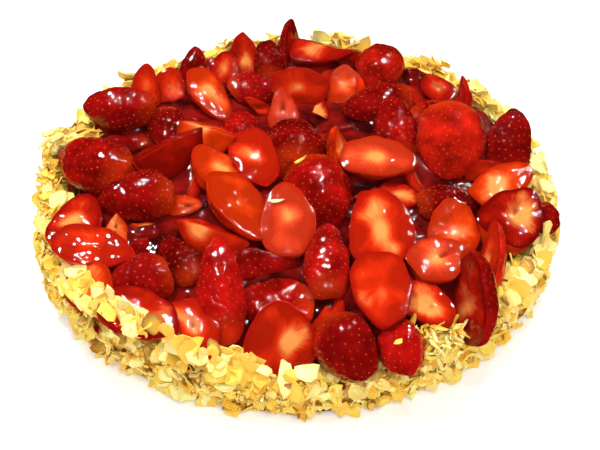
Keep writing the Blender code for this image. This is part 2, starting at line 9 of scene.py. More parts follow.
import json
import math
import random
from collections import namedtuple

import bmesh
import bpy
import numpy as np
from bpy.props import FloatProperty, FloatVectorProperty, IntProperty, PointerProperty
from mathutils import Matrix, Vector, noise
from mathutils.bvhtree import BVHTree

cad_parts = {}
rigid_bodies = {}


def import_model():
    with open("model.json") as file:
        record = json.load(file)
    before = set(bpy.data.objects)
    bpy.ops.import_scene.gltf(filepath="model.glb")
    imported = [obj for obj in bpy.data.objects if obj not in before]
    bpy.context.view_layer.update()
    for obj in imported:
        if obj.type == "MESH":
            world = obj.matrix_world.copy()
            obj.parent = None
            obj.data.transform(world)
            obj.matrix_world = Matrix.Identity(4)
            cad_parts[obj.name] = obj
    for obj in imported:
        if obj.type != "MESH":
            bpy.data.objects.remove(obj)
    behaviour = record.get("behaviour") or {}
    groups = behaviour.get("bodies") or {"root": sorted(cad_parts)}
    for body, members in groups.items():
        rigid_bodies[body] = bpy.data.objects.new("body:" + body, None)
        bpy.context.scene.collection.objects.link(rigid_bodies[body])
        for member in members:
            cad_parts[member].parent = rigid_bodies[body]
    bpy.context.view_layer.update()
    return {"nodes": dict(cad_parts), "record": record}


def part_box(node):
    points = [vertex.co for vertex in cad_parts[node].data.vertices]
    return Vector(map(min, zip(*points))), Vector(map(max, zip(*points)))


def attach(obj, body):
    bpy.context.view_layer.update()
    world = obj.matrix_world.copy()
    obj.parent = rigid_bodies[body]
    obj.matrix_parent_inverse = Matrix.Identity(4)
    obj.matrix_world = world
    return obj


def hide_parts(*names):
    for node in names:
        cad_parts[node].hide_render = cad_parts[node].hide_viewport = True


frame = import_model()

bl_info = {
    "name": "Strawberry flan",
    "version": (1, 0, 0),
    "blender": (4, 5, 0),
    "location": "View3D > Sidebar > Flan",
    "description": "Finishes a strawberry flan: berries, jelly, almond-clad case and stage",
    "category": "Object",
}

MM = 0.001
BODY = "root"
CRISP_ANGLE = math.radians(35)
ALMOND = "toasted_flaked_almond"
UP = Vector((0.0, 0.0, 1.0))

# The way each berry lies, in the order of the solids' numbers: heading is the compass of the
# tip, 0 to the right and 90 to the back; tilt lifts the tip; face is where the cut looks
Lie = namedtuple("Lie", "heading tilt face")
FACES = {
    "up": (0.0, -0.15, 1.0),
    "down": (0.0, 0.1, -1.0),
    "front": (0.0, -1.0, 0.75),
    "back": (0.0, 1.0, -0.3),
    "left": (-1.0, -0.3, 0.5),
    "right": (1.0, -0.3, 0.5),
    "front_left": (-0.7, -0.7, 0.7),
    "up_right": (0.5, -0.35, 0.8),
}
LOOSE_LIES = [Lie(*row) for row in (
    # Back rim
    (90, 50, "right"), (-10, 5, "up"), (90, 20, "down"), (90, 55, "front"), (90, 50, "back"),
    (90, 40, "front"), (180, 5, "down"), (-90, 5, "down"),
    # Second row
    (-60, -15, "up_right"), (0, 0, "down"), (0, 5, "front"), (90, 30, "front"), (200, 0, "down"),
    (0, 0, "down"), (95, 20, "down"), (90, 10, "down"), (90, 30, "front"),
    # Right shoulder
    (-90, -20, "down"), (75, 40, "down"), (40, 5, "front_left"), (20, 0, "down"), (60, 10, "up"),
    (80, 15, "left"), (0, 0, "down"), (90, 25, "front"),
    # Middle
    (90, 0, "down"), (100, 15, "right"), (-10, 0, "up"), (-80, 0, "down"), (150, 0, "down"),
    (40, 0, "up"), (-30, 5, "up"), (-70, -10, "up"), (120, 5, "up_right"), (180, 0, "down"),
    (-70, -5, "down"), (-65, -5, "up_right"), (92, 15, "up"), (170, 0, "up"), (90, 10, "up"),
    # Left edge
    (70, 5, "up"), (-20, 0, "up"), (-60, 0, "front"), (-30, 0, "up"), (-70, -5, "up"),
    # Front
    (120, 0, "down"), (200, 0, "down"), (97, 25, "down"), (0, 0, "down"), (90, 10, "down"),
    (180, 0, "down"), (90, 50, "front"), (-60, -10, "down"), (-80, 0, "down"), (-85, 0, "up"),
    (-50, 0, "up"), (-80, -5, "left"), (30, 0, "up"),
)]
# The berries sunk in the jelly, each with the place in the plan where it is found
Sunk = namedtuple("Sunk", "x y heading tilt face shape tone")
SUNK_LIES = [Sunk(*row) for row in (
    # Seen between the others from the front
    (-37, 86, 90, 30, "front", "half", "red"), (-67, 72, 90, 30, "front", "half", "bright"),
    (-2, 85, 90, 0, "down", "half", "dark"), (25, 84, 0, 0, "down", "half", "red"),
    (56, 67, -30, 0, "up", "half", "bright"), (86, 63, 90, 30, "left", "half", "red"),
    (-24, 49, 0, 0, "front", "half", "bright"), (8, 43, 60, 0, "up", "quarter", "red"),
    (21, 35, 30, 0, "down", "half", "dark"), (60, -2, 110, 10, "right", "half", "bright"),
    (-87, 30, 170, 0, "down", "half", "dark"), (-52, -7, 80, 0, "left", "half", "bright"),
    (-57, -23, 0, 0, "up", "half", "orange"), (-46, -24, 90, 0, "down", "half", "red"),
    (-16, -12, 80, 0, "down", "half", "dark"), (98, 2, 0, 0, "front", "half", "bright"),
    (39, -15, 0, 0, "down", "half", "red"), (-73, -46, 60, 0, "down", "half", "red"),
    (-52, -84, 80, 0, "down", "half", "dark"), (-85, -38, 90, 0, "up", "quarter", "orange"),
    (-68, -32, 0, 0, "up", "quarter", "orange"), (15, -91, 70, 0, "front_left", "half", "bright"),
    (23, -72, 60, 0, "down", "half", "red"),
    # Low along the back rim
    (-66, 86, 140, 0, "down", "half", "dark"), (-46, 98, 20, 0, "down", "half", "red"),
    (-28, 106, 10, 0, "down", "half", "dark"), (36, 102, -20, 0, "down", "half", "red"),
    (63, 86, -40, 0, "down", "half", "dark"), (78, 72, 120, 0, "up", "half", "red"),
    (97, 49, -60, 0, "down", "half", "dark"),
    # Low in the hollows of the heap
    (-103, -15, 100, 0, "down", "half", "red"), (-52, 46, 60, 0, "down", "half", "dark"),
    (14, 54, 20, 0, "down", "half", "dark"), (62, 59, 60, 0, "down", "half", "red"),
    (27, -36, 80, 0, "down", "half", "dark"), (51, -16, -30, 0, "up", "half", "red"),
    (59, -34, 100, 0, "down", "half", "dark"), (-53, -33, 150, 0, "down", "half", "red"),
)]
QUARTER_ANGLE = math.radians(40)

# The domed top of the jelly's solid
JELLY_EDGE = 20.5 * MM
JELLY_DOME = 11.5 * MM
DOME_POWER = 7
JELLY_RADIUS = 114.2 * MM
CASE_FLOOR = 10.3 * MM

# Reading the faceted solids: how near two corners or planes lie and how alike they look (the
# cosine between them) when they count as one, what counts as a cut face, and the least distance
# of a plane from the middle
SAME_CORNER = 2e-5
SAME_OFFSET = 1e-4
SAME_LOOK = 0.9985
CUT_LOOK = 0.995
CUT_AREA = 2e-5
ON_CUT = 3e-5
NEAREST_PLANE = 1.0 * MM

# Berry surfaces: how closely the rounded skin keeps to its planes, how far it swells past them
# and how much of its swellings' height it is lowered by
ROUNDNESS = 9.0
GROWTH = 1.24
LUMP_LEVEL = 0.3
# Cut faces: how far inside the rim they start, where their rows lie between middle and rim, how
# long their swellings are, and which share has a hollow of which depths, lengths and places
RIM_INSET = 0.985
RIM_ROWS = (0.0, 0.16, 0.3, 0.44, 0.57, 0.69, 0.79, 0.87, 0.93, 0.97, 0.99)
RELIEF_LENGTH = 5.0 * MM
HOLLOW_CHANCE = 0.45
HOLLOW_DEPTHS = (0.5, 1.0)
HOLLOW_LENGTHS = (0.6, 1.1)
HOLLOW_WIDTH = 0.35
HOLLOW_SHIFTS = (-0.4, 0.9)
# Seeds: how many places are tried, and how far round from a cut face they start
SEED_TRIES = 500
SEED_CLEARANCE = -0.1

# The berries in the jelly: how far their corners stand out of its top, the fewest corners that
# make a berry, and how finely it is made
SUNK_RISE = 0.7 * MM
SUNK_CORNERS = 6
SUNK_AROUND = 36
SUNK_RINGS = 16


def linear(code):
    """Linear red, green and blue of an sRGB hex code."""
    channels = [int(code[i:i + 2], 16) / 255.0 for i in (1, 3, 5)]
    return tuple(c / 12.92 if c <= 0.04045 else ((c + 0.055) / 1.055) ** 2.4 for c in channels)


def hue(name, code, description):
    """A colour that a user can change."""
    return FloatVectorProperty(
        name=name, description=description, default=linear(code), size=3, min=0.0, max=1.0,
        subtype="COLOR",
    )


def size(name, millimetres, description):
    """A length that a user can change."""
    return FloatProperty(
        name=name, description=description, default=millimetres * MM, min=0.0, unit="LENGTH",
        precision=5,
    )


class BerryFinish(bpy.types.PropertyGroup):
    """Fineness, relief and colours of the strawberries."""

    around: IntProperty(name="Steps around", description="Faces round a berry", default=64, min=8)
    rings: IntProperty(name="Rings", description="Rings from rim to pole", default=30, min=4)
    lump_height: size("Lump height", 1.1, "How far the skin's slow swellings rise")
    lump_length: size("Lump length", 9.0, "Length of those swellings")
    wrinkle_height: size("Wrinkle height", 0.4, "How far the skin's small swellings rise")
    wrinkle_length: size("Wrinkle length", 3.5, "Length of those small swellings")
    pit_depth: size("Pit depth", 0.16, "Depth of the dimple round a seed")
    pit_width: size("Pit width", 0.8, "Radius of the dimple round a seed")
    seed_spacing: size("Seed spacing", 2.7, "Distance between seeds")
    seed_length: size("Seed length", 0.75, "Length of a seed")
    face_relief: size("Face relief", 0.55, "Height of the slow swellings on a cut face")
    face_dome: size("Face dome", 0.2, "How far a cut face swells in its middle")
    edge_drop: size("Edge drop", 0.35, "How far the rim of a cut face is rounded off")
    hollow_depth: size("Hollow depth", 2.4, "Depth of the hollow in some cut faces")
    hollow_length: size("Hollow length", 4.0, "Half the length of that hollow")
    dark: hue("Dark skin", "#720706", "Skin of the ripest berries")
    red: hue("Red skin", "#900b08", "Skin of ripe berries")
    bright: hue("Bright skin", "#aa170a", "Skin of the bright berries")
    orange: hue("Orange skin", "#b82406", "Skin of the palest berries")
    salmon: hue("Salmon skin", "#b8280c", "Skin of the pinkish berries")
    dark_flesh: hue("Dark flesh", "#9c1406", "Cut face of the ripest berries")
    red_flesh: hue("Red flesh", "#b41e09", "Cut face of ripe berries")
    bright_flesh: hue("Bright flesh", "#c8280a", "Cut face of the bright berries")
    orange_flesh: hue("Orange flesh", "#d0380c", "Cut face of the palest berries")
    salmon_flesh: hue("Salmon flesh", "#d03e20", "Cut face of the pinkish berries")
    core: hue("Core", "#f4944a", "Pale core of a cut face")
    # The hollow colour is painted shade, laid where a cut face is hollowed
    hollow: hue("Hollow", "#7a1204", "Bottom of a hollow in a cut face")
    seed: hue("Seed", "#a8521a", "The seeds")


class JellyFinish(bpy.types.PropertyGroup):
    """Level and colours of the jelly between the berries."""

    step: size("Step", 1.5, "Distance between the rings of the surface")
    pool_depth: size("Pool depth", 4.5, "How far the pools lie under the berries round them")
    pool_width: size("Pool width", 5.0, "How far the level of a pool follows its berries")
    film: size("Film", 0.4, "Depth of jelly over the solid's own top")
    ripple: size("Ripple", 1.3, "Height of the slow ripples")
    deep: hue("Deep jelly", "#320505", "Jelly in the gaps")
    # The thin colour is painted light: the pinkish red of light coming back through thin jelly
    thin: hue("Thin jelly", "#861410", "Jelly where it is thin and light comes back")


class AlmondFinish(bpy.types.PropertyGroup):
    """Sizes, numbers and colours of the almonds and the crust."""

    flake_density: FloatProperty(
        name="Flake density", description="Flakes on a square metre of crust", default=62000.0,
    )
    chip_density: FloatProperty(
        name="Chip density", description="Chips on a square metre of crust", default=190000.0,
    )
    flake_length: size("Flake length", 11.5, "Length of the commonest flake")
    chip_length: size("Chip length", 3.2, "Length of the commonest broken chip")
    inset: size("Inset", 1.6, "Depth of the crust under the almonds")
    seed: IntProperty(name="Seed", description="Another strewing for each number", default=5)
    pale: hue("Pale almond", "#ffe896", "Inside of a flake")
    gold: hue("Golden almond", "#fddc58", "Toasted flake")
    toasted: hue("Toasted almond", "#f0bc46", "Edge of a well toasted flake")
    husk: hue("Almond skin", "#9a6228", "Brown skin at the edge of some flakes")
    crust: hue("Crust", "#e4b452", "Baked pastry")
    jam: hue("Jam", "#6a1c0c", "Red jam that holds the flakes")


class StageFinish(bpy.types.PropertyGroup):
    """Camera, light and floor."""

    elevation: FloatProperty(
        name="Elevation", description="Height of the camera above the horizon",
        default=math.radians(43.1), subtype="ANGLE",
    )
    distance: FloatProperty(
        name="Distance", description="Camera to flan", default=0.75, unit="LENGTH",
    )
    lens: FloatProperty(
        name="Lens", description="Focal length on a 36 mm sensor", default=90.6, unit="CAMERA",
    )
    floor: hue("Floor", "#fbfbfb", "Plain pale floor")


def settings():
    """The sizes and colours that a user can change."""
    return bpy.context.scene.flan


def linked(name, data):
    """A new object in the scene."""
    made = bpy.data.objects.new(name, data)
    bpy.context.scene.collection.objects.link(made)
    return made


def vectors(items, field):
    """A vector of each of a mesh's points, one to a row."""
    values = np.zeros(len(items) * 3)
    items.foreach_get(field, values)
    return values.reshape(-1, 3)


def even_turns(count):
    """Angles of even steps once round."""
    return 2.0 * np.pi * np.arange(count) / count


def finish_piece(mesh, name, nodes, materials=(), crisp=False):
    """Link a mesh as a piece that rides on the flan and stands for some of its solids."""
    for material in materials:
        mesh.materials.append(material)
    mesh.shade_smooth()
    if crisp:
        mesh.set_sharp_from_angle(angle=CRISP_ANGLE)
    piece = linked(name, mesh)
    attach(piece, BODY)
    if nodes:
        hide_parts(*nodes)


def merged(node):
    """A copy of a solid's mesh with its loose triangles joined, as a bmesh."""
    bm = bmesh.new()
    bm.from_mesh(frame["nodes"][node].data)
    bmesh.ops.remove_doubles(bm, verts=bm.verts, dist=1e-6)
    return bm


def slot_of(node):
    """The record's material slot of a solid."""
    for part in frame["record"]["subparts"]:
        if part["node"] == node:
            return part["material_slot"]
    raise ValueError(f"{node} has no material slot")


# The form of a berry

Form = namedtuple("Form", "shape tone centre axis side up normals nearness roof")
Plane = namedtuple("Plane", "normal offset area centre")


def planes_round(points):
    """The planes round the hull of some points, each once, largest first, and its middle."""
    bm = bmesh.new()
    for point in points:
        bm.verts.new(point)
    bmesh.ops.remove_doubles(bm, verts=bm.verts, dist=SAME_CORNER)
    bmesh.ops.convex_hull(bm, input=bm.verts, use_existing_faces=False)
    bmesh.ops.recalc_face_normals(bm, faces=bm.faces)
    turned = -1.0 if bm.calc_volume(signed=True) < 0.0 else 1.0
    start = np.mean(points, axis=0)
    volume = 0.0
    moment = np.zeros(3)
    for face in bm.faces:
        a, b, c = (np.array(v.co) - start for v in face.verts)
        part = turned * (a @ np.cross(b, c))
        volume += part
        moment += part * (a + b + c) / 4.0
    found = []
    for face in sorted(bm.faces, key=lambda f: -f.calc_area()):
        normal = np.array(face.normal) * turned
        centre = np.array(face.calc_center_median())
        area = face.calc_area()
        offset = float(normal @ centre)
        for i, plane in enumerate(found):
            near = abs(offset - plane.offset) < SAME_OFFSET
            if near and normal @ plane.normal > SAME_LOOK:
                whole = plane.area + area
                middle = (plane.centre * plane.area + centre * area) / whole
                found[i] = Plane(plane.normal, plane.offset, whole, middle)
                break
        else:
            if area > 0.0:
                found.append(Plane(normal, offset, area, centre))
    bm.free()
    return found, start + moment / volume


def berry_axes(lie):
    """Directions of a berry's tip, of its side and of the way its cut looks."""
    along = Vector((1.0, 0.0, 0.0))
    along.rotate(Matrix.Rotation(math.radians(-lie.tilt), 3, "Y"))
    along.rotate(Matrix.Rotation(math.radians(lie.heading), 3, "Z"))
    look = Vector(FACES[lie.face])
    up = (look - along * look.dot(along)).normalized()
    return np.array(along), np.array(up.cross(along)), np.array(up)


def cut_planes(planes, shape, lie, side, up):
    """The planes of a berry's cut faces that are there to be seen."""
    if shape == "whole" or lie.face == "down":
        return []
    lean = QUARTER_ANGLE if shape == "quarter" else 0.0
    looks = [math.sin(lean) * side + math.cos(lean) * up]
    if shape == "quarter":
        looks.append(-math.sin(lean) * side + math.cos(lean) * up)
    cuts = []
    for look in looks:
        near = [plane for plane in planes if plane.normal @ look > CUT_LOOK]
        if near and near[0].area > CUT_AREA:
            cuts.append(near[0])
    return cuts


def berry_form(points, shape, tone, lie):
    """The form of a berry, from the corners of its solid and the way it lies."""
    axis, side, up = berry_axes(lie)
    planes, middle = planes_round(points)
    cuts = cut_planes(planes, shape, lie, side, up)
    roof = 0.0
    if len(cuts) == 2:
        ridge = [
            point for point in points
            if all(abs(cut.normal @ point - cut.offset) < ON_CUT for cut in cuts)
        ]
        if len(ridge) > 1:
            centre = np.mean(ridge, axis=0)
            roof = QUARTER_ANGLE
        else:
            cuts = cuts[:1]
    if len(cuts) == 1:
        centre = cuts[0].centre
        up = cuts[0].normal
        side = np.cross(up, axis)
        side = side / np.linalg.norm(side)
        axis = np.cross(side, up)
    if not cuts:
        shape = "whole"
        centre = middle
    rest = [
        plane for plane in planes
        if not any(plane.normal @ cut.normal > CUT_LOOK for cut in cuts)
    ]
    normals = np.array([plane.normal for plane in rest])
    nearness = np.array([plane.offset for plane in rest]) - normals @ centre
    nearness = np.maximum(nearness, NEAREST_PLANE)
    return Form(shape, tone, centre, axis, side, up, normals, nearness, roof)


def rounded(form, directions):
    """How far the rounded skin is in each direction, and the way that it faces there."""
    ratio = np.maximum(directions @ form.normals.T, 0.0) / form.nearness
    reach = GROWTH * (ratio ** ROUNDNESS).sum(axis=-1) ** (-1.0 / ROUNDNESS)
    facing = (ratio ** (ROUNDNESS - 1.0) / form.nearness) @ form.normals
    facing /= np.linalg.norm(facing, axis=-1, keepdims=True)
    return reach, facing


def wander(points, length):
    """Smooth chance values between -1 and 1 at some points, with waves about length long."""
    return np.array([noise.noise(Vector(point) / length) for point in points])


def skin_points(form, directions, finish):
    """Points of the skin with its slow swellings, and the way that it faces."""
    reach, facing = rounded(form, directions)
    points = form.centre + directions * reach[:, None]
    swell = finish.lump_height * (wander(points, finish.lump_length) - LUMP_LEVEL)
    swell += finish.wrinkle_height * wander(points, finish.wrinkle_length)
    return points + facing * swell[:, None], facing


def seed_directions(form, finish, rng):
    """Directions of the seeds: each a step from the next, and nowhere on a cut face."""
    golden = math.pi * (3.0 - math.sqrt(5.0))
    order = list(range(SEED_TRIES))
    rng.shuffle(order)
    tries = []
    for i in order:
        height = 1.0 - 2.0 * (i + 0.5) / SEED_TRIES
        flat = math.sqrt(1.0 - height * height)
        tries.append((flat * math.cos(golden * i), flat * math.sin(golden * i), height))
    tries = np.array(tries)
    if form.shape != "whole":
        for sign in (-1.0, 1.0):
            face = math.sin(form.roof) * sign * form.side + math.cos(form.roof) * form.up
            tries = tries[tries @ face < SEED_CLEARANCE]
    places = form.centre + tries * rounded(form, tries)[0][:, None]
    kept = []
    for i, place in enumerate(places):
        gaps = np.linalg.norm(places[kept] - place, axis=1)
        if not kept or gaps.min() > finish.seed_spacing:
            kept.append(i)
    return tries[kept]


def rim_directions(form, around):
    """Directions from the middle of the cut to its rim, and the way the cut faces there."""
    turns = even_turns(around)
    cosine = np.cos(turns)[:, None]
    sine = np.sin(turns)[:, None]
    fall = np.abs(sine) * math.sin(form.roof)
    rim = cosine * form.axis + sine * math.cos(form.roof) * form.side - fall * form.up
    lean = np.sign(np.where(np.abs(sine) < 1e-6, 0.0, sine)) * math.sin(form.roof)
    facing = lean * form.side + math.cos(form.roof) * form.up
    return rim / np.linalg.norm(rim, axis=1, keepdims=True), facing


def skin_rows(form, around, rings):
    """Rows of directions over the skin, from the rim or the stalk to the far pole."""
    if form.shape == "whole":
        turns = even_turns(around)[:, None]
        ring = np.cos(turns) * form.side + np.sin(turns) * form.up
        polar = np.pi * np.arange(1, 2 * rings) / (2 * rings)
        return [-math.cos(p) * form.axis + math.sin(p) * ring for p in polar], form.axis
    rim, _ = rim_directions(form, around)
    down = -form.up
    angle = np.arccos(np.clip(rim @ down, -1.0, 1.0))[:, None]
    rows = []
    for share in np.arange(rings) / rings:
        toward = np.sin((1.0 - share) * angle) * rim + np.sin(share * angle) * down
        rows.append(toward / np.sin(angle))
    return rows, down


def cut_rows(form, rim, finish, rng):
    """Rows of the cut face from its middle outwards, and how deep in the hollow each lies."""
    _, facing = rim_directions(form, len(rim))
    deep = 0.0
    if rng.random() < HOLLOW_CHANCE:
        deep = finish.hollow_depth * rng.uniform(*HOLLOW_DEPTHS)
    length = finish.hollow_length * rng.uniform(*HOLLOW_LENGTHS)
    width = HOLLOW_WIDTH * length
    shift = rng.uniform(*HOLLOW_SHIFTS) * length
    rows = []
    hollows = []
    for share in RIM_ROWS + (1.0,):
        points = form.centre + share * (rim - form.centre)
        along = (points - form.centre) @ form.axis - shift
        across = (points - form.centre) @ form.side
        hollow = np.exp(-((along / length) ** 2) - (across / width) ** 2)
        rise = finish.face_relief * (1.0 - share ** 8) * wander(points, RELIEF_LENGTH)
        rise += finish.face_dome * (1.0 - share ** 2.5) - finish.edge_drop * share ** 9
        rise -= deep * hollow
        rows.append(points + facing * rise[:, None])
        hollows.append(hollow * deep / finish.hollow_depth)
    return rows, hollows


def berry_mesh(form, finish, rng, around, rings):
    """Make a berry: its skin with dimples and, where it is cut, its face."""
    rows, pole = skin_rows(form, around, rings)
    directions = np.concatenate(rows + [pole[None, :]])
    points, facing = skin_points(form, directions, finish)
    seeds = seed_directions(form, finish, rng)
    pit = np.zeros(len(points))
    if len(seeds):
        places, _ = skin_points(form, seeds, finish)
        gap = np.linalg.norm(points[:, None, :] - places[None, :, :], axis=2).min(axis=1)
        pit = np.exp(-((gap / finish.pit_width) ** 2))
        points = points - facing * (pit * finish.pit_depth)[:, None]
    along = (points - form.centre) @ form.axis
    along = (along - along.min()) / max(along.max() - along.min(), 1e-6)

    if form.shape == "whole":
        start = (form.centre - form.axis * rounded(form, -form.axis[None, :])[0][0])[None, :]
        first = 0
        inner = []
        hollows = []
    else:
        rim = form.centre + RIM_INSET * (points[:around] - form.centre)
        inner, hollows = cut_rows(form, rim, finish, rng)
        points[:around] = inner.pop()
        start = inner.pop(0)[:1]
        hollows = hollows[1:-1]
        first = len(inner)
    body = np.concatenate([start] + inner + [points])
    count = len(inner) + len(rows)
    faces = [(0, 2 + i if i + 1 < around else 1, 1 + i) for i in range(around)]
    for row in range(count - 1):
        here = 1 + row * around
        after = here + around
        for i in range(around):
            j = (i + 1) % around
            faces.append((here + i, here + j, after + j, after + i))
    last = 1 + (count - 1) * around
    faces += [(last + i, last + (i + 1) % around, len(body) - 1) for i in range(around)]
    mesh = bpy.data.meshes.new("strawberry")
    mesh.from_pydata(body.tolist(), [], faces)

    hollow = np.concatenate([np.zeros(1)] + hollows)
    put(mesh, "pit", "FLOAT", np.concatenate([hollow, pit]))
    put(mesh, "along", "FLOAT", np.concatenate([np.zeros(len(hollow)), along]))
    across = np.ones(len(body))
    across[0] = 0.0
    for row, share in enumerate(RIM_ROWS[1:]):
        across[1 + row * around:1 + (row + 1) * around] = share if first else 1.0
    put(mesh, "across", "FLOAT", across)
    ripeness = rng.random()
    put(mesh, "ripeness", "FLOAT", np.full(len(body), ripeness))
    spread = np.stack([(body - form.centre) @ form.axis, (body - form.centre) @ form.side], axis=1)
    spread /= np.maximum(np.linalg.norm(spread, axis=1, keepdims=True), 1e-5)
    put(mesh, "ray", "FLOAT_VECTOR", np.column_stack([spread, 0.5 * across + 30.0 * ripeness]))
    cut_faces = around * (1 + first) if first else 0
    index = np.zeros(len(faces), dtype=np.int32)
    index[:cut_faces] = 1
    mesh.polygons.foreach_set("material_index", index)
    turn_outwards(mesh)
    return mesh


def put(mesh, name, kind, values):
    """Store values on a mesh's points."""
    field = "vector" if kind == "FLOAT_VECTOR" else "value"
    layer = mesh.attributes.new(name, kind, "POINT")
    layer.data.foreach_set(field, np.asarray(values, dtype=np.float32).ravel())


def turn_outwards(mesh):
    """Turn a closed mesh whose faces point inwards."""
    bm = bmesh.new()
    bm.from_mesh(mesh)
    if bm.calc_volume(signed=True) < 0.0:
        bmesh.ops.reverse_faces(bm, faces=bm.faces)
        bm.to_mesh(mesh)
    bm.free()


def corners_of(node):
    """Corners of a solid."""
    bm = merged(node)
    points = np.array([tuple(v.co) for v in bm.verts])
    bm.free()
    return points


def loose_forms():
    """Form of each berry that is a solid of its own, by the solid's name."""
    forms = {}
    for node in sorted(frame["nodes"]):
        if node.startswith("berry_"):
            _, shape, number = node.split("_")
            tone = slot_of(node).split("_")[1]
            lie = LOOSE_LIES[int(number) - 1]
            forms[node] = berry_form(corners_of(node), shape, tone, lie)
    return forms


def jelly_level(radius):
    """Height of the jelly's solid at a distance from the middle."""
    return JELLY_EDGE + JELLY_DOME * (1.0 - (radius / JELLY_RADIUS) ** DOME_POWER)


def sunk_forms():
    """Forms of the berries that the jelly holds, found as what stands out of its solid."""
    bm = merged("glaze_bed")
    low = [
        face for face in bm.faces
        if all(v.co.z < jelly_level(math.hypot(v.co.x, v.co.y)) + SUNK_RISE for v in face.verts)
    ]
    bmesh.ops.delete(bm, geom=low, context="FACES")
    lone = [v for v in bm.verts if not v.link_faces]
    bmesh.ops.delete(bm, geom=lone, context="VERTS")
    unseen = set(bm.verts)
    groups = []
    for vert in list(bm.verts):
        if vert not in unseen:
            continue
        unseen.remove(vert)
        group = [vert]
        for member in group:
            for edge in member.link_edges:
                other = edge.other_vert(member)
                if other in unseen:
                    unseen.remove(other)
                    group.append(other)
        groups.append(np.array([tuple(v.co) for v in group]))
    bm.free()
    forms = []
    for group in groups:
        if len(group) < SUNK_CORNERS:
            continue
        middle = 0.5 * (group.min(axis=0) + group.max(axis=0)) / MM
        lie = min(SUNK_LIES, key=lambda s: math.hypot(s.x - middle[0], s.y - middle[1]))
        forms.append(berry_form(group, lie.shape, lie.tone, lie))
    return forms


# Materials

# The clear glaze on fruit and jelly: all the shine is that of one smooth wet coat, and none
# comes from what lies under it
GLAZE = {
    "Specular_IOR_Level": 0.0, "Coat_Weight": 1.0, "Coat_Roughness": 0.03, "Coat_IOR": 1.45,
}


def add(tree, kind, inputs=None, stops=None, **values):
    """Add a node with its settings, its ramp and its links or input values."""
    node = tree.nodes.new(kind)
    for name, value in values.items():
        setattr(node, name, value)
    for key, value in (inputs or {}).items():
        socket = node.inputs[key]
        if isinstance(value, bpy.types.NodeSocket):
            tree.links.new(value, socket)
        else:
            socket.default_value = value
    if stops:
        ramp = node.color_ramp
        while len(ramp.elements) < len(stops):
            ramp.elements.new(1.0)
        for element, (place, colour) in zip(ramp.elements, stops):
            element.position = place
            element.color = (*colour, 1.0)
    return node


def new_material(name, **values):
    """A material with its shader's uniform values set."""
    material = bpy.data.materials.new(name)
    material.use_nodes = True
    shader = material.node_tree.nodes["Principled BSDF"]
    for key, value in values.items():
        shader.inputs[key.replace("_", " ")].default_value = value
    return material, material.node_tree, shader


def shaded(colour, factor):
    """A colour made darker or lighter."""
    return tuple(min(1.0, channel * factor) for channel in colour)


def ripened(tree, value, reach):
    """A value pushed up or down by how ripe the berry is."""
    ripe = add(tree, "ShaderNodeAttribute", attribute_name="ripeness")
    push = add(
        tree, "ShaderNodeMath", {0: ripe.outputs["Fac"], 1: reach, 2: -0.5 * reach},
        operation="MULTIPLY_ADD",
    )
    return add(tree, "ShaderNodeMath", {0: value, 1: push.outputs[0]}, operation="ADD").outputs[0]


def strawberry_skin(tone, colour, seed_glow):
    """Ripe skin under a brushed-on glaze: deep, mottled red that shines like wet lacquer."""
    _, tree, shader = new_material(
        f"glazed_strawberry_skin_{tone}", Roughness=0.4, IOR=1.38, Subsurface_Weight=0.12,
        Subsurface_Scale=2.0 * MM, **GLAZE,
    )
    shader.inputs["Subsurface Radius"].default_value = (1.0, 0.15, 0.06)
    place = add(tree, "ShaderNodeTexCoord").outputs["Object"]
    mottle = add(
        tree, "ShaderNodeTexNoise", {"Vector": place, "Scale": 1.0 / (10.0 * MM), "Detail": 3.0}
    )
    skin = add(
        tree, "ShaderNodeValToRGB", {"Fac": ripened(tree, mottle.outputs["Fac"], 0.25)},
        stops=((0.28, shaded(colour, 0.5)), (0.5, colour), (0.74, shaded(colour, 1.7))),
    )
    along = add(tree, "ShaderNodeAttribute", attribute_name="along")
    stalk = add(
        tree, "ShaderNodeValToRGB", {"Fac": along.outputs["Fac"]},
        stops=((0.0, (0.55, 0.55, 0.55)), (0.28, (0.0, 0.0, 0.0))),
    )
    shoulders = add(
        tree, "ShaderNodeMix",
        {0: stalk.outputs["Color"], 6: skin.outputs["Color"], 7: (*seed_glow, 1.0)},
        data_type="RGBA",
    )
    pit = add(tree, "ShaderNodeAttribute", attribute_name="pit")
    glow = add(tree, "ShaderNodeMath", {0: pit.outputs["Fac"], 1: 0.1}, operation="MULTIPLY")
    dimpled = add(
        tree, "ShaderNodeMix",
        {0: glow.outputs[0], 6: shoulders.outputs[2], 7: (*seed_glow, 1.0)}, data_type="RGBA",
    )
    tree.links.new(dimpled.outputs[2], shader.inputs["Base Color"])
    glaze_bump(tree, shader, place, 6.0 * MM, 0.5)


def relief(tree, shader, place, length, height, strength, detail, distortion=0.0):
    """Unevenness of a surface, with waves of a real length and height."""
    wave = add(
        tree, "ShaderNodeTexNoise",
        {"Vector": place, "Scale": 1.0 / length, "Detail": detail, "Distortion": distortion},
    )
    bump = add(
        tree, "ShaderNodeBump",
        {"Height": wave.outputs["Fac"], "Strength": strength, "Distance": height},
    )
    tree.links.new(bump.outputs["Normal"], shader.inputs["Normal"])
    return bump.outputs["Normal"]


def glaze_bump(tree, shader, place, length, strength):
    """Uneven glaze that breaks up the highlights."""
    normal = relief(tree, shader, place, length, 1.2 * MM, strength, 2.5, 0.9)
    tree.links.new(normal, shader.inputs["Coat Normal"])


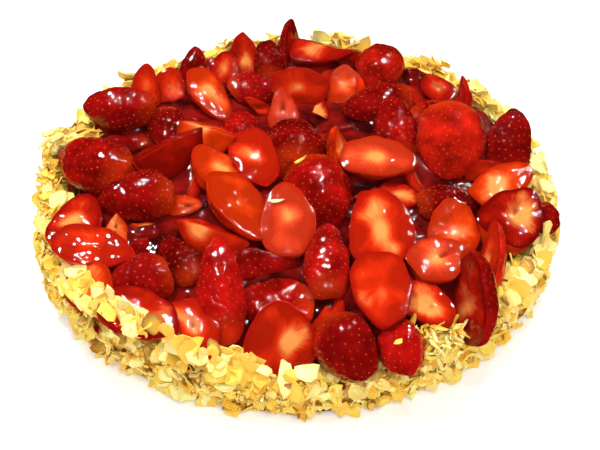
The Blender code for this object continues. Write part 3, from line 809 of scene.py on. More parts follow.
def strawberry_flesh(tone, colour, core, rim, hollow):
    """Cut strawberry under glaze: wet, glowing orange-red, paler towards its soft core, with
    painted shade darkening its hollows.
    """
    _, tree, shader = new_material(
        f"glazed_strawberry_flesh_{tone}", Roughness=0.35, IOR=1.38, Subsurface_Weight=0.2,
        Subsurface_Scale=3.0 * MM, **GLAZE,
    )
    shader.inputs["Subsurface Radius"].default_value = (1.0, 0.3, 0.1)
    place = add(tree, "ShaderNodeTexCoord").outputs["Object"]
    across = add(tree, "ShaderNodeAttribute", attribute_name="across")
    patch = add(
        tree, "ShaderNodeTexNoise", {"Vector": place, "Scale": 1.0 / (13.0 * MM), "Detail": 0.4}
    )
    drift = add(
        tree, "ShaderNodeMath", {0: patch.outputs["Fac"], 1: 2.2, 2: -1.02},
        operation="MULTIPLY_ADD",
    )
    shifted = add(
        tree, "ShaderNodeMath", {0: across.outputs["Fac"], 1: drift.outputs[0]}, operation="ADD"
    )
    # Fibres that run out from the core: the noise is read by direction, so four waves to a
    # radian lie about 3 mm apart at the rim of a cut that is 13 mm in radius
    ray = add(tree, "ShaderNodeAttribute", attribute_name="ray")
    streak = add(
        tree, "ShaderNodeTexNoise",
        {"Vector": ray.outputs["Vector"], "Scale": 4.0, "Detail": 3.0, "Roughness": 0.6},
    )
    centred = add(tree, "ShaderNodeMath", {0: streak.outputs["Fac"], 1: -0.4}, operation="ADD")
    outward = add(
        tree, "ShaderNodeMath", {0: centred.outputs[0], 1: across.outputs["Fac"]},
        operation="MULTIPLY",
    )
    level = add(
        tree, "ShaderNodeMath", {0: outward.outputs[0], 1: 1.1, 2: shifted.outputs[0]},
        operation="MULTIPLY_ADD",
    )
    ground = add(
        tree, "ShaderNodeValToRGB", {"Fac": ripened(tree, level.outputs[0], 0.5)},
        stops=(
            (0.0, core), (0.3, tuple(0.7 * a + 0.3 * b for a, b in zip(colour, core))),
            (0.55, shaded(colour, 1.05)),
            (1.0, tuple(0.35 * a + 0.5 * b for a, b in zip(colour, rim))),
        ),
    )
    edge = add(
        tree, "ShaderNodeMapRange",
        {"Value": across.outputs["Fac"], "From Min": 0.8, "From Max": 0.97},
    )
    rimmed = add(
        tree, "ShaderNodeMix",
        {0: edge.outputs[0], 6: ground.outputs["Color"], 7: (*rim, 1.0)}, data_type="RGBA",
    )
    # Painted shade: the deeper a cut face's hollow, the nearer its colour comes to the dark hollow
    # colour
    pit = add(tree, "ShaderNodeAttribute", attribute_name="pit")
    hollow_painted_shade = add(
        tree, "ShaderNodeMix",
        {0: pit.outputs["Fac"], 6: rimmed.outputs[2], 7: (*hollow, 1.0)}, data_type="RGBA",
    )
    tree.links.new(hollow_painted_shade.outputs[2], shader.inputs["Base Color"])
    glaze_bump(tree, shader, place, 7.5 * MM, 0.5)


def fruit_jelly(deep, thin):
    """Set red jelly: dark in some patches and pinkish in others, the pinkish being painted light
    for light coming back through thin jelly, with a mirror-like top.
    """
    material, tree, shader = new_material(
        "red_fruit_jelly", Roughness=0.3, IOR=1.38, Subsurface_Weight=0.2,
        Subsurface_Scale=3.0 * MM, **GLAZE,
    )
    place = add(tree, "ShaderNodeTexCoord").outputs["Object"]
    # Painted light: noise, not the jelly's depth, lays patches of the thin colour for light coming
    # back through thin jelly
    painted_light_patches = add(
        tree, "ShaderNodeTexNoise", {"Vector": place, "Scale": 1.0 / (14.0 * MM), "Detail": 2.0}
    )
    colour = add(
        tree, "ShaderNodeValToRGB", {"Fac": painted_light_patches.outputs["Fac"]},
        stops=((0.38, deep), (0.66, thin)),
    )
    tree.links.new(colour.outputs["Color"], shader.inputs["Base Color"])
    glaze_bump(tree, shader, place, 6.0 * MM, 0.6)
    return material


def strawberry_seed(colour):
    """Small dry fruits in the skin: straw yellow, smooth, under the same glaze."""
    material, tree, shader = new_material(
        "strawberry_seed", Roughness=0.35, IOR=1.45, Coat_Weight=1.0, Coat_Roughness=0.06,
    )
    shade = add(tree, "ShaderNodeAttribute", attribute_name="shade")
    colours = add(
        tree, "ShaderNodeValToRGB", {"Fac": shade.outputs["Fac"]},
        stops=((0.0, shaded(colour, 0.4)), (0.6, colour), (1.0, shaded(colour, 2.0))),
    )
    tree.links.new(colours.outputs["Color"], shader.inputs["Base Color"])
    return material


def toasted_almond(finish):
    """Flaked almonds from the oven: matt, cream inside, golden to brown towards the edge."""
    material, tree, shader = new_material(
        ALMOND, Roughness=0.55, IOR=1.45, Subsurface_Weight=0.1, Subsurface_Scale=1.0 * MM,
    )
    place = add(tree, "ShaderNodeTexCoord").outputs["Object"]
    shade = add(tree, "ShaderNodeAttribute", attribute_name="shade")
    edge = add(tree, "ShaderNodeAttribute", attribute_name="edge")
    grain = add(
        tree, "ShaderNodeTexNoise", {"Vector": place, "Scale": 1.0 / (2.5 * MM), "Detail": 4.0}
    )
    body = add(
        tree, "ShaderNodeValToRGB", {"Fac": shade.outputs["Fac"]},
        stops=(
            (0.0, shaded(finish.pale, 1.25)), (0.22, finish.pale), (0.5, finish.gold),
            (0.82, shaded(finish.toasted, 1.2)), (1.0, shaded(finish.toasted, 0.8)),
        ),
    )
    reach = add(
        tree, "ShaderNodeMath", {0: edge.outputs["Fac"], 1: 0.35, 2: 0.65},
        operation="MULTIPLY_ADD",
    )
    toast = add(
        tree, "ShaderNodeMath", {0: grain.outputs["Fac"], 1: reach.outputs[0]},
        operation="MULTIPLY",
    )
    browned = add(
        tree, "ShaderNodeMapRange",
        {"Value": toast.outputs[0], "From Min": 0.36, "From Max": 0.66, "To Max": 0.6},
    )
    warm = add(
        tree, "ShaderNodeMix",
        {0: browned.outputs[0], 6: body.outputs["Color"], 7: (*finish.toasted, 1.0)},
        data_type="RGBA",
    )
    skinned = add(
        tree, "ShaderNodeMath", {0: shade.outputs["Fac"], 1: 0.95}, operation="GREATER_THAN"
    )
    outer = add(
        tree, "ShaderNodeMath", {0: edge.outputs["Fac"], 1: skinned.outputs[0]},
        operation="MULTIPLY",
    )
    husked = add(
        tree, "ShaderNodeMix",
        {0: outer.outputs[0], 6: warm.outputs[2], 7: (*finish.husk, 1.0)}, data_type="RGBA",
    )
    tree.links.new(husked.outputs[2], shader.inputs["Base Color"])
    relief(tree, shader, place, 0.9 * MM, 0.2 * MM, 0.3, 3.0)
    return material


def jammed_crust(finish):
    """Baked shortcrust brushed with jam: matt golden crumb with sticky dark red patches."""
    material, tree, shader = new_material("jam_brushed_shortcrust", IOR=1.45)
    place = add(tree, "ShaderNodeTexCoord").outputs["Object"]
    patch = add(
        tree, "ShaderNodeTexNoise", {"Vector": place, "Scale": 1.0 / (7.0 * MM), "Detail": 4.0}
    )
    colour = add(
        tree, "ShaderNodeValToRGB", {"Fac": patch.outputs["Fac"]},
        stops=(
            (0.32, finish.jam), (0.4, shaded(finish.jam, 1.8)), (0.46, shaded(finish.crust, 0.8)),
            (0.6, finish.crust),
        ),
    )
    rough = add(
        tree, "ShaderNodeMapRange",
        {"Value": patch.outputs["Fac"], "From Min": 0.46, "From Max": 0.58, "To Min": 0.2,
         "To Max": 0.8},
    )
    tree.links.new(colour.outputs["Color"], shader.inputs["Base Color"])
    tree.links.new(rough.outputs[0], shader.inputs["Roughness"])
    relief(tree, shader, place, 1.5 * MM, 0.6 * MM, 0.6, 5.0)
    return material


def studio_floor(colour):
    """Plain pale shooting table lit a little from below: matt, with the faintest clouds."""
    material, tree, shader = new_material("studio_paper", Roughness=0.9, Emission_Strength=0.2)
    place = add(tree, "ShaderNodeTexCoord").outputs["Object"]
    clouds = add(tree, "ShaderNodeTexNoise", {"Vector": place, "Scale": 1.0 / (40.0 * MM)})
    paper = add(
        tree, "ShaderNodeValToRGB", {"Fac": clouds.outputs["Fac"]},
        stops=((0.0, shaded(colour, 0.985)), (1.0, colour)),
    )
    tree.links.new(paper.outputs["Color"], shader.inputs["Base Color"])
    return material


def berry_materials(tone):
    """Skin and flesh of one tone, made once."""
    names = (f"glazed_strawberry_skin_{tone}", f"glazed_strawberry_flesh_{tone}")
    if names[0] not in bpy.data.materials:
        finish = settings().berries
        skin = tuple(getattr(finish, tone))
        flesh = tuple(getattr(finish, f"{tone}_flesh"))
        rim = shaded(skin, 0.8)
        strawberry_skin(tone, skin, tuple(finish.orange_flesh))
        strawberry_flesh(tone, flesh, tuple(finish.core), rim, tuple(finish.hollow))
    return [bpy.data.materials[name] for name in names]


# Jelly

JELLY_AROUND = 224
RIPPLE_LENGTH = 9.0 * MM
# Planes steeper than this neither roof a berry nor carry it
UPRIGHT = 0.02


def top_planes(form):
    """Normals and offsets of all the planes round a berry's form, its cut included."""
    offsets = form.nearness + form.normals @ form.centre
    normals = form.normals
    if form.shape != "whole":
        signs = (-1.0, 1.0) if form.roof else (0.0,)
        for sign in signs:
            cut = sign * math.sin(form.roof) * form.side + math.cos(form.roof) * form.up
            normals = np.vstack([normals, cut])
            offsets = np.append(offsets, cut @ form.centre)
    return normals, offsets


def berry_tops(places, forms):
    """Height of the highest berry over each place of the plan, or of the jelly's solid."""
    top = jelly_level(np.minimum(np.linalg.norm(places, axis=1), JELLY_RADIUS))
    for form in forms:
        normals, offsets = top_planes(form)
        rest = offsets[None, :] - places @ normals[:, :2].T
        rising = normals[:, 2] > UPRIGHT
        falling = normals[:, 2] < -UPRIGHT
        upright = ~(rising | falling)
        roof = (rest[:, rising] / normals[rising, 2]).min(axis=1)
        base = (rest[:, falling] / normals[falling, 2]).max(axis=1)
        inside = (roof > base) & (rest[:, upright] > 0.0).all(axis=1)
        top = np.where(inside, np.maximum(top, roof), top)
    return top


def blurred(grid, width):
    """A grid of heights smoothed with a bell curve some cells wide."""
    reach = int(3 * width)
    bell = np.exp(-0.5 * (np.arange(-reach, reach + 1) / width) ** 2)
    bell /= bell.sum()
    padded = np.pad(grid, reach, mode="edge")
    rows = np.apply_along_axis(np.convolve, 0, padded, bell, "valid")
    return np.apply_along_axis(np.convolve, 1, rows, bell, "valid")


def jelly_mesh(finish, forms):
    """Make the jelly: a disc whose top lies in pools between the berries."""
    step = finish.step
    cells = int(2.0 * JELLY_RADIUS / step) + 3
    marks = (np.arange(cells) - 0.5 * (cells - 1)) * step
    plan = np.stack(np.meshgrid(marks, marks, indexing="ij"), axis=-1).reshape(-1, 2)
    tops = berry_tops(plan, forms).reshape(cells, cells)
    pools = blurred(tops, finish.pool_width / step) - finish.pool_depth

    count = int(JELLY_RADIUS / step)
    turns = even_turns(JELLY_AROUND)
    rings = []
    for ring in range(1, count + 1):
        radius = JELLY_RADIUS * ring / count
        x = radius * np.cos(turns)
        y = radius * np.sin(turns)
        i = x / step + 0.5 * (cells - 1)
        j = y / step + 0.5 * (cells - 1)
        low_i = i.astype(int)
        low_j = j.astype(int)
        u = i - low_i
        v = j - low_j
        pool = (
            pools[low_i, low_j] * (1 - u) * (1 - v) + pools[low_i + 1, low_j] * u * (1 - v)
            + pools[low_i, low_j + 1] * (1 - u) * v + pools[low_i + 1, low_j + 1] * u * v
        )
        z = np.maximum(jelly_level(radius) + finish.film, pool)
        z = z + finish.ripple * wander(np.stack([x, y, 0.0 * x], axis=1), RIPPLE_LENGTH)
        rings.append(np.stack([x, y, z], axis=1))
    foot = rings[-1].copy()
    foot[:, 2] = CASE_FLOOR
    rings.append(foot)
    return turned_mesh("red_jelly", rings, (0.0, 0.0, rings[0][:, 2].mean()), (0, 0, CASE_FLOOR))


def turned_mesh(name, rings, first, last):
    """A closed mesh through rings of points, with a point to close each end."""
    around = len(rings[0])
    points = np.concatenate([np.array([first])] + rings + [np.array([last])])
    faces = [(0, 1 + i, 1 + (i + 1) % around) for i in range(around)]
    for row in range(len(rings) - 1):
        here = 1 + row * around
        for i in range(around):
            j = (i + 1) % around
            faces.append((here + i, here + around + i, here + around + j, here + j))
    last_ring = 1 + (len(rings) - 1) * around
    end = len(points) - 1
    faces += [(last_ring + i, end, last_ring + (i + 1) % around) for i in range(around)]
    mesh = bpy.data.meshes.new(name)
    mesh.from_pydata(points.tolist(), [], faces)
    turn_outwards(mesh)
    return mesh


# Case and almonds

CASE_STEPS = 300
SECTION_STEPS = 44
SECTION_RADIUS = 121.5 * MM
SECTION_HEIGHT = 9.0 * MM
SECTION_START = math.radians(-66)
SECTION_END = math.radians(178)
# How far off the solid's outside is felt from, and what stands in where nothing is felt
FEELER = 45.0 * MM
NOTHING_FELT = 6.0 * MM
# Steps round the case that are averaged, and what each counts for
SMOOTHING = ((-3, 0.1), (-2, 0.14), (-1, 0.17), (0, 0.18), (1, 0.17), (2, 0.14), (3, 0.1))
LOWEST_CRUST = 0.6 * MM
# Shares of the radius at which the case's underside and its inner wall end, and how far its
# floor lies under the jelly's
FOOT_SHARE = 0.996
INNER_SHARE = 0.995
FLOOR_SINK = 0.5 * MM
# Where almonds lie on the crust: outside this radius, over this height, not on its underside
ALMONDS_FROM = 112.0 * MM
ALMONDS_OVER = 1.5 * MM
ALMONDS_LOOK = -0.4
# The height under which almonds are pressed in, and how much of what reaches too far out or
# too low is left
ALMOND_FOOT = 0.4 * MM
LEFT_OUT = 0.12
LEFT_BELOW = 0.1
# A flake's rings of points: share of its outline, height and how near the toasted edge
FLAKE_SIDES = 11
FLAKE_RINGS = ((0.55, 0.5, 0.1), (0.97, 0.4, 0.9), (1.0, -0.4, 1.0), (0.55, -0.5, 0.1))
CHIP_SIDES = 5
FLAKE_KINDS = 14
CHIP_KINDS = 8
SHRED_KINDS = 6
SEED_KINDS = 3


def crust_rings(finish):
    """Rings of the crust, felt from the solid's outside, smoothed and set in a little."""
    bm = merged("flan_base")
    tree = BVHTree.FromBMesh(bm)
    reach = np.zeros((CASE_STEPS, SECTION_STEPS))
    leans = np.linspace(SECTION_START, SECTION_END, SECTION_STEPS)
    for i in range(CASE_STEPS):
        turn = 2.0 * math.pi * i / CASE_STEPS
        out = Vector((math.cos(turn), math.sin(turn), 0.0))
        middle = out * SECTION_RADIUS + UP * SECTION_HEIGHT
        for j, lean in enumerate(leans):
            look = out * math.cos(lean) + UP * math.sin(lean)
            hit = tree.ray_cast(middle + look * FEELER, -look, FEELER)
            reach[i, j] = FEELER - hit[3] if hit[0] is not None else NOTHING_FELT
    bm.free()
    smooth = np.zeros_like(reach)
    for shift, weight in SMOOTHING:
        smooth += weight * np.roll(reach, shift, axis=0)
    smooth[:, 1:-1] = 0.25 * smooth[:, :-2] + 0.5 * smooth[:, 1:-1] + 0.25 * smooth[:, 2:]
    smooth -= finish.inset
    rings = []
    turns = even_turns(CASE_STEPS)
    for j, lean in enumerate(leans):
        radius = SECTION_RADIUS + smooth[:, j] * math.cos(lean)
        height = np.maximum(SECTION_HEIGHT + smooth[:, j] * math.sin(lean), LOWEST_CRUST)
        rings.append(np.stack([radius * np.cos(turns), radius * np.sin(turns), height], axis=1))
    return rings


def crust_mesh(finish):
    """Make the pastry case with its flat underside, floor and rough brushed wall."""
    rings = crust_rings(finish)
    foot = rings[0].copy()
    foot[:, :2] *= FOOT_SHARE
    foot[:, 2] = 0.0
    inner = rings[-1].copy()
    inner[:, :2] *= INNER_SHARE
    floor = CASE_FLOOR - FLOOR_SINK
    inner[:, 2] = floor
    rings = [foot] + rings + [inner]
    return turned_mesh("pastry_case", rings, (0.0, 0.0, 0.0), (0.0, 0.0, floor))


def almond_flake(length, width, thickness, bend, rng):
    """One almond slice: thin, curled and often broken off across."""
    sides = FLAKE_SIDES
    outline = []
    snapped = rng.uniform(0.1, 0.5) if rng.random() < 0.6 else 1.0
    slant = rng.uniform(-0.5, 0.5)
    twist = rng.uniform(-1.0, 1.0) * bend
    wave = rng.uniform(0.2, 0.6) * abs(bend)
    phase = rng.uniform(0.0, 2.0 * math.pi)
    for i in range(sides):
        turn = 2.0 * math.pi * i / sides
        ragged = 1.0 + rng.uniform(-0.24, 0.14)
        x = 0.5 * length * math.cos(turn) * ragged
        y = 0.5 * width * math.sin(turn) * (1.0 - 0.22 * math.cos(turn)) * ragged
        x = min(x, 0.5 * length * snapped + slant * y)
        outline.append((x, y))
    points = []
    edge = []
    for share, z, rim in FLAKE_RINGS:
        for x, y in outline:
            u = share * x / length
            v = share * y / width
            lift = 4.0 * bend * u * u + 1.6 * bend * v * v + 4.0 * twist * u * v
            lift += wave * math.sin(7.0 * u + 4.0 * v + phase)
            points.append((share * x, share * y, z * thickness + lift))
            edge.append(rim)
    faces = [tuple(range(sides))]
    for row in range(3):
        for i in range(sides):
            j = (i + 1) % sides
            here = row * sides
            after = here + sides
            faces.append((here + j, here + i, after + i, after + j))
    faces.append(tuple(reversed(range(3 * sides, 4 * sides))))
    mesh = bpy.data.meshes.new("flake")
    mesh.from_pydata(points, [], faces)
    put(mesh, "edge", "FLOAT", edge)
    turn_outwards(mesh)
    return mesh


def almond_chip(length, rng):
    """One broken bit of almond: a flat, sharp-cornered crumb."""
    sides = CHIP_SIDES
    points = []
    for z, share in ((0.16, 0.85), (-0.16, 1.0)):
        for i in range(sides):
            turn = 2.0 * math.pi * i / sides + 0.3
            reach = 0.5 * length * share * (0.7 + 0.3 * abs(math.cos(turn * 1.5 + length * 900)))
            points.append((reach * math.cos(turn), 0.7 * reach * math.sin(turn), z * length))
    points = [(x + rng.uniform(-0.06, 0.06) * length, y, z) for x, y, z in points]
    faces = [tuple(range(sides)), tuple(reversed(range(sides, 2 * sides)))]
    for i in range(sides):
        j = (i + 1) % sides
        faces.append((i, sides + i, sides + j, j))
    mesh = bpy.data.meshes.new("chip")
    mesh.from_pydata(points, [], faces)
    put(mesh, "edge", "FLOAT", [0.2] * len(points))
    turn_outwards(mesh)
    return mesh


def kinds_of(name, meshes):
    """A collection of the kinds that a strewing picks from."""
    group = bpy.data.collections.new(name)
    bpy.context.scene.collection.children.link(group)
    for i, mesh in enumerate(meshes):
        group.objects.link(bpy.data.objects.new(f"{name}_{i}", mesh))
    return group


def clear_kinds(group):
    """Remove a collection of kinds and all it holds."""
    for obj in list(group.objects):
        bpy.data.objects.remove(obj, do_unlink=True)
    bpy.data.collections.remove(group)


STREW_INPUTS = (
    ("Surface", "NodeSocketGeometry"),
    ("Kinds", "NodeSocketCollection"),
    ("Density", "NodeSocketFloat"),
    ("Smallest", "NodeSocketFloat"),
    ("Largest", "NodeSocketFloat"),
    ("Lean", "NodeSocketFloat"),
    ("Spin", "NodeSocketFloat"),
    ("Lift", "NodeSocketFloat"),
    ("Seed", "NodeSocketInt"),
    ("Material", "NodeSocketMaterial"),
)


def new_tree(name):
    """An empty tree with the inputs that every strewing has."""
    tree = bpy.data.node_groups.new(name, "GeometryNodeTree")
    for label, kind in STREW_INPUTS:
        tree.interface.new_socket(label, in_out="INPUT", socket_type=kind)
    tree.interface.new_socket("Strewn", in_out="OUTPUT", socket_type="NodeSocketGeometry")
    return tree, add(tree, "NodeGroupInput").outputs


def surface_tree():
    """Nodes that strew small things over a surface, more where its cover value is high."""
    tree, given = new_tree("strewn_over_a_surface")
    cover = add(tree, "GeometryNodeInputNamedAttribute", {"Name": "cover"}, data_type="FLOAT")
    density = add(
        tree, "ShaderNodeMath", {0: given["Density"], 1: cover.outputs["Attribute"]},
        operation="MULTIPLY",
    )
    strewn = add(
        tree, "GeometryNodeDistributePointsOnFaces",
        {"Mesh": given["Surface"], "Density": density.outputs[0], "Seed": given["Seed"]},
        distribute_method="RANDOM",
    )
    return finish_strewing(tree, given, strewn.outputs["Points"], strewn.outputs["Rotation"])


def placed_tree():
    """Nodes that put a small thing at each point, facing and pointing as the point says."""
    tree, given = new_tree("placed_on_points")
    points = add(tree, "GeometryNodeMeshToPoints", {0: given["Surface"]})
    facing = add(
        tree, "GeometryNodeInputNamedAttribute", {"Name": "facing"}, data_type="FLOAT_VECTOR"
    )
    toward = add(
        tree, "GeometryNodeInputNamedAttribute", {"Name": "toward"}, data_type="FLOAT_VECTOR"
    )
    upright = add(
        tree, "FunctionNodeAlignRotationToVector", {"Vector": facing.outputs["Attribute"]},
        axis="Z",
    )
    pointed = add(
        tree, "FunctionNodeAlignRotationToVector",
        {"Rotation": upright.outputs[0], "Vector": toward.outputs["Attribute"]},
        axis="X", pivot_axis="Z",
    )
    return finish_strewing(tree, given, points.outputs[0], pointed.outputs[0])


def finish_strewing(tree, given, points, rotation):
    """Nodes that put a kind at each point, turned and sized by chance, and end the tree."""
    spin = add(tree, "ShaderNodeCombineXYZ", {0: given["Lean"], 1: given["Lean"], 2: given["Spin"]})
    unspin = add(
        tree, "ShaderNodeVectorMath", {0: spin.outputs[0], 1: (-1.0, -1.0, -1.0)},
        operation="MULTIPLY",
    )
    chance = add(
        tree, "FunctionNodeRandomValue",
        {"Min": unspin.outputs[0], "Max": spin.outputs[0], "Seed": given["Seed"]},
        data_type="FLOAT_VECTOR",
    )
    turn = add(tree, "FunctionNodeEulerToRotation", {0: chance.outputs[0]})
    turned = add(
        tree, "FunctionNodeRotateRotation", {0: rotation, 1: turn.outputs[0]},
        rotation_space="LOCAL",
    )
    scale = add(
        tree, "FunctionNodeRandomValue",
        {2: given["Smallest"], 3: given["Largest"], "Seed": given["Seed"]}, data_type="FLOAT",
    )
    kinds = add(
        tree, "GeometryNodeCollectionInfo",
        {"Collection": given["Kinds"], "Separate Children": True, "Reset Children": True},
    )
    pick = add(
        tree, "FunctionNodeRandomValue", {4: 0, 5: 99, "Seed": given["Seed"]}, data_type="INT"
    )
    placed = add(
        tree, "GeometryNodeInstanceOnPoints",
        {
            "Points": points, "Instance": kinds.outputs["Instances"], "Pick Instance": True,
            "Instance Index": pick.outputs[2], "Rotation": turned.outputs[0],
            "Scale": scale.outputs[1],
        },
    )
    up = add(tree, "ShaderNodeCombineXYZ", {2: given["Lift"]})
    lifted = add(
        tree, "GeometryNodeTranslateInstances",
        {"Instances": placed.outputs[0], "Translation": up.outputs[0], "Local Space": True},
    )
    shade = add(tree, "FunctionNodeRandomValue", {2: 0.0, 3: 1.0, "Seed": 77}, data_type="FLOAT")
    shaded_kinds = add(
        tree, "GeometryNodeStoreNamedAttribute",
        {"Geometry": lifted.outputs[0], "Name": "shade", "Value": shade.outputs[1]},
        data_type="FLOAT", domain="INSTANCE",
    )
    real = add(tree, "GeometryNodeRealizeInstances", {0: shaded_kinds.outputs[0]})
    dressed = add(
        tree, "GeometryNodeSetMaterial",
        {"Geometry": real.outputs[0], "Material": given["Material"]},
    )
    add(tree, "NodeGroupOutput", {0: dressed.outputs[0]})
    return tree


def strewn_mesh(tree, surface, values):
    """The plain mesh that a tree makes on a surface."""
    ground = linked("ground", surface)
    modifier = ground.modifiers.new("Strewing", "NODES")
    modifier.node_group = tree
    for item in tree.interface.items_tree:
        if item.item_type == "SOCKET" and item.in_out == "INPUT" and item.name in values:
            modifier[item.identifier] = values[item.name]
    bpy.context.view_layer.update()
    evaluated = ground.evaluated_get(bpy.context.evaluated_depsgraph_get())
    mesh = bpy.data.meshes.new_from_object(evaluated)
    ground.modifiers.remove(modifier)
    bpy.data.objects.remove(ground, do_unlink=True)
    return mesh


def held_in(mesh, radius, lowest):
    """Press in whatever reaches beyond a radius or below a height."""
    points = vectors(mesh.vertices, "co")
    reach = np.hypot(points[:, 0], points[:, 1])
    over = reach > radius
    points[over, :2] *= ((radius + LEFT_OUT * (reach[over] - radius)) / reach[over])[:, None]
    below = (points[:, 2] - lowest).clip(max=0)
    points[:, 2] = np.maximum(points[:, 2], lowest + LEFT_BELOW * below)
    points[:, 2] = np.maximum(points[:, 2], 0.0)
    mesh.vertices.foreach_set("co", points.ravel())
    mesh.update()


def seed_kinds(length):
    """Kinds of seed: small drops."""
    kinds = []
    for i in range(SEED_KINDS):
        bm = bmesh.new()
        bmesh.ops.create_uvsphere(bm, u_segments=6, v_segments=4, radius=0.5)
        for vert in bm.verts:
            x, y, z = vert.co
            narrow = 0.62 - 0.25 * x - 0.05 * i
            vert.co = (length * x, length * y * narrow, length * z * 0.36)
        mesh = bpy.data.meshes.new("seed")
        bm.to_mesh(mesh)
        bm.free()
        kinds.append(mesh)
    return kinds


def place_points(name, places, facing, toward):
    """A mesh of lone points that say which way the thing on each of them faces."""
    mesh = bpy.data.meshes.new(name)
    mesh.from_pydata([tuple(place) for place in places], [], [])
    put(mesh, "facing", "FLOAT_VECTOR", facing)
    put(mesh, "toward", "FLOAT_VECTOR", toward)
    return mesh


# Lone bits of almond on the berries: place in the plan in millimetres, heading in degrees and
# how far each lies over what is under it
Stray = namedtuple("Stray", "x y heading heap")
STRAY_FLAKES = (Stray(46, -118, 20, 0), Stray(54, -110, 70, 0), Stray(98, 64, 40, 0))
STRAY_SLIVERS = (Stray(3, -9, 35, 0), Stray(-9, -34, 30, 0))

# Places of the almonds that lie loose on the others: how many, azimuths in degrees, distances
# from the middle and how high they heap
Strewing = namedtuple("Strewing", "count azimuths radii heap")
SHREDS = (
    Strewing(230, (-69, -52), (113, 130), 6),
    Strewing(70, (-52, -42), (122, 131), 5),
    Strewing(40, (47, 56), (106, 120), 5),
    Strewing(30, (156, 166), (108, 122), 4),
)
BORDER_FLAKES = (
    Strewing(230, (-160, -20), (117, 127), 6),
    Strewing(80, (-48, -12), (120, 129), 5),
    Strewing(60, (-20, 60), (117, 125), 4),
    Strewing(60, (120, 210), (116, 125), 4),
    Strewing(30, (60, 120), (117, 125), 3),
    # Heaps that reach in over the jelly, and the knob on the left
    Strewing(26, (46, 57), (104, 118), 6),
    Strewing(26, (22, 36), (107, 120), 6),
    Strewing(16, (-6, 6), (114, 124), 6),
    Strewing(22, (154, 166), (104, 120), 7),
    Strewing(24, (167, 173), (118, 128), 10),
    Strewing(60, (178, 196), (100, 118), 5),
)
# At the front left the flakes also lie on the berries' feet, this far out and no higher
FEET_FLAKES = Strewing(110, (-146, -100), (119, 130), 7)
FEET_FROM = 122.0
FEET_HEIGHT = 37.0 * MM
# Heaped flakes lean outwards and point up a little, and all are let fall from over the flan
HEAP_LEAN = 0.8
HEAP_RISE = 0.6
DROP_HEIGHT = 200.0 * MM


class FLAN_OT_strawberries(bpy.types.Operator):
    """Round every berry that is a solid of its own."""

    bl_idname = "flan.strawberries"
    bl_label = "Strawberries"

    def execute(self, context):
        finish = settings().berries
        for node, form in loose_forms().items():
            rng = random.Random(node)
            mesh = berry_mesh(form, finish, rng, finish.around, finish.rings)
            name = node.replace("berry", "strawberry")
            finish_piece(mesh, name, [node], berry_materials(form.tone))
        return {"FINISHED"}


class FLAN_OT_sunk_strawberries(bpy.types.Operator):
    """Round the berries that the jelly holds, one piece for each tone."""

    bl_idname = "flan.sunk_strawberries"
    bl_label = "Sunk strawberries"

    def execute(self, context):
        finish = settings().berries
        tones = {}
        for number, form in enumerate(sunk_forms()):
            rng = random.Random(number)
            mesh = berry_mesh(form, finish, rng, SUNK_AROUND, SUNK_RINGS)
            for material in berry_materials(form.tone):
                mesh.materials.append(material)
            tones.setdefault(form.tone, []).append(mesh)
        for tone, meshes in sorted(tones.items()):
            joined = joined_meshes(f"sunk_{tone}", meshes)
            finish_piece(joined, f"sunk_strawberries_{tone}", ["glaze_bed"])
        return {"FINISHED"}


def joined_meshes(name, meshes):
    """One mesh of several, with their attributes and face materials kept."""
    tree = bpy.data.node_groups.new(name, "GeometryNodeTree")
    tree.interface.new_socket("Berries", in_out="INPUT", socket_type="NodeSocketCollection")
    tree.interface.new_socket("Joined", in_out="OUTPUT", socket_type="NodeSocketGeometry")
    given = add(tree, "NodeGroupInput").outputs
    kinds = add(tree, "GeometryNodeCollectionInfo", {"Collection": given["Berries"]})
    real = add(tree, "GeometryNodeRealizeInstances", {0: kinds.outputs["Instances"]})
    add(tree, "NodeGroupOutput", {0: real.outputs[0]})
    group = kinds_of(name, meshes)
    mesh = strewn_mesh(tree, bpy.data.meshes.new(name), {"Berries": group})
    clear_kinds(group)
    return mesh


# How deep in its dimple a seed lies, and how far down the skin may face where seeds are put
SEED_DEPTH = 0.72
SEEDS_LOOK = -0.35


class FLAN_OT_seeds(bpy.types.Operator):
    """Put a seed in each dimple of the berries that are solids of their own, where the skin does
    not face far down.
    """

    bl_idname = "flan.seeds"
    bl_label = "Seeds"

    def execute(self, context):
        finish = settings().berries
        places = []
        facings = []
        towards = []
        for node, form in loose_forms().items():
            rng = random.Random(node)
            directions = seed_directions(form, finish, rng)
            points, facing = skin_points(form, directions, finish)
            shown = facing[:, 2] > SEEDS_LOOK
            places.append((points - facing * SEED_DEPTH * finish.pit_depth)[shown])
            facings.append(facing[shown])
            towards.append(np.tile(form.axis, (int(shown.sum()), 1)))
        mesh = place_points(
            "seed_places", np.concatenate(places), np.concatenate(facings), np.concatenate(towards)
        )
        kinds = kinds_of("seed", seed_kinds(finish.seed_length))
        seeds = strewn_mesh(
            placed_tree(), mesh,
            {
                "Kinds": kinds, "Smallest": 0.8, "Largest": 1.15, "Lean": 0.15, "Spin": 0.4,
                "Lift": 0.0, "Seed": 3, "Material": strawberry_seed(tuple(finish.seed)),
            },
        )
        clear_kinds(kinds)
        finish_piece(seeds, "strawberry_seeds", [])
        return {"FINISHED"}


class FLAN_OT_jelly(bpy.types.Operator):
    """Pour the jelly between the berries."""

    bl_idname = "flan.jelly"
    bl_label = "Jelly"

    def execute(self, context):
        finish = settings().jelly
        forms = list(loose_forms().values()) + sunk_forms()
        mesh = jelly_mesh(finish, forms)
        material = fruit_jelly(tuple(finish.deep), tuple(finish.thin))
        finish_piece(mesh, "red_jelly", ["glaze_bed"], [material])
        return {"FINISHED"}


class FLAN_OT_case(bpy.types.Operator):
    """Bake the pastry case."""

    bl_idname = "flan.case"
    bl_label = "Pastry case"

    def execute(self, context):
        finish = settings().almonds
        mesh = crust_mesh(finish)
        finish_piece(mesh, "pastry_case", ["flan_base"], [jammed_crust(finish)])
        return {"FINISHED"}


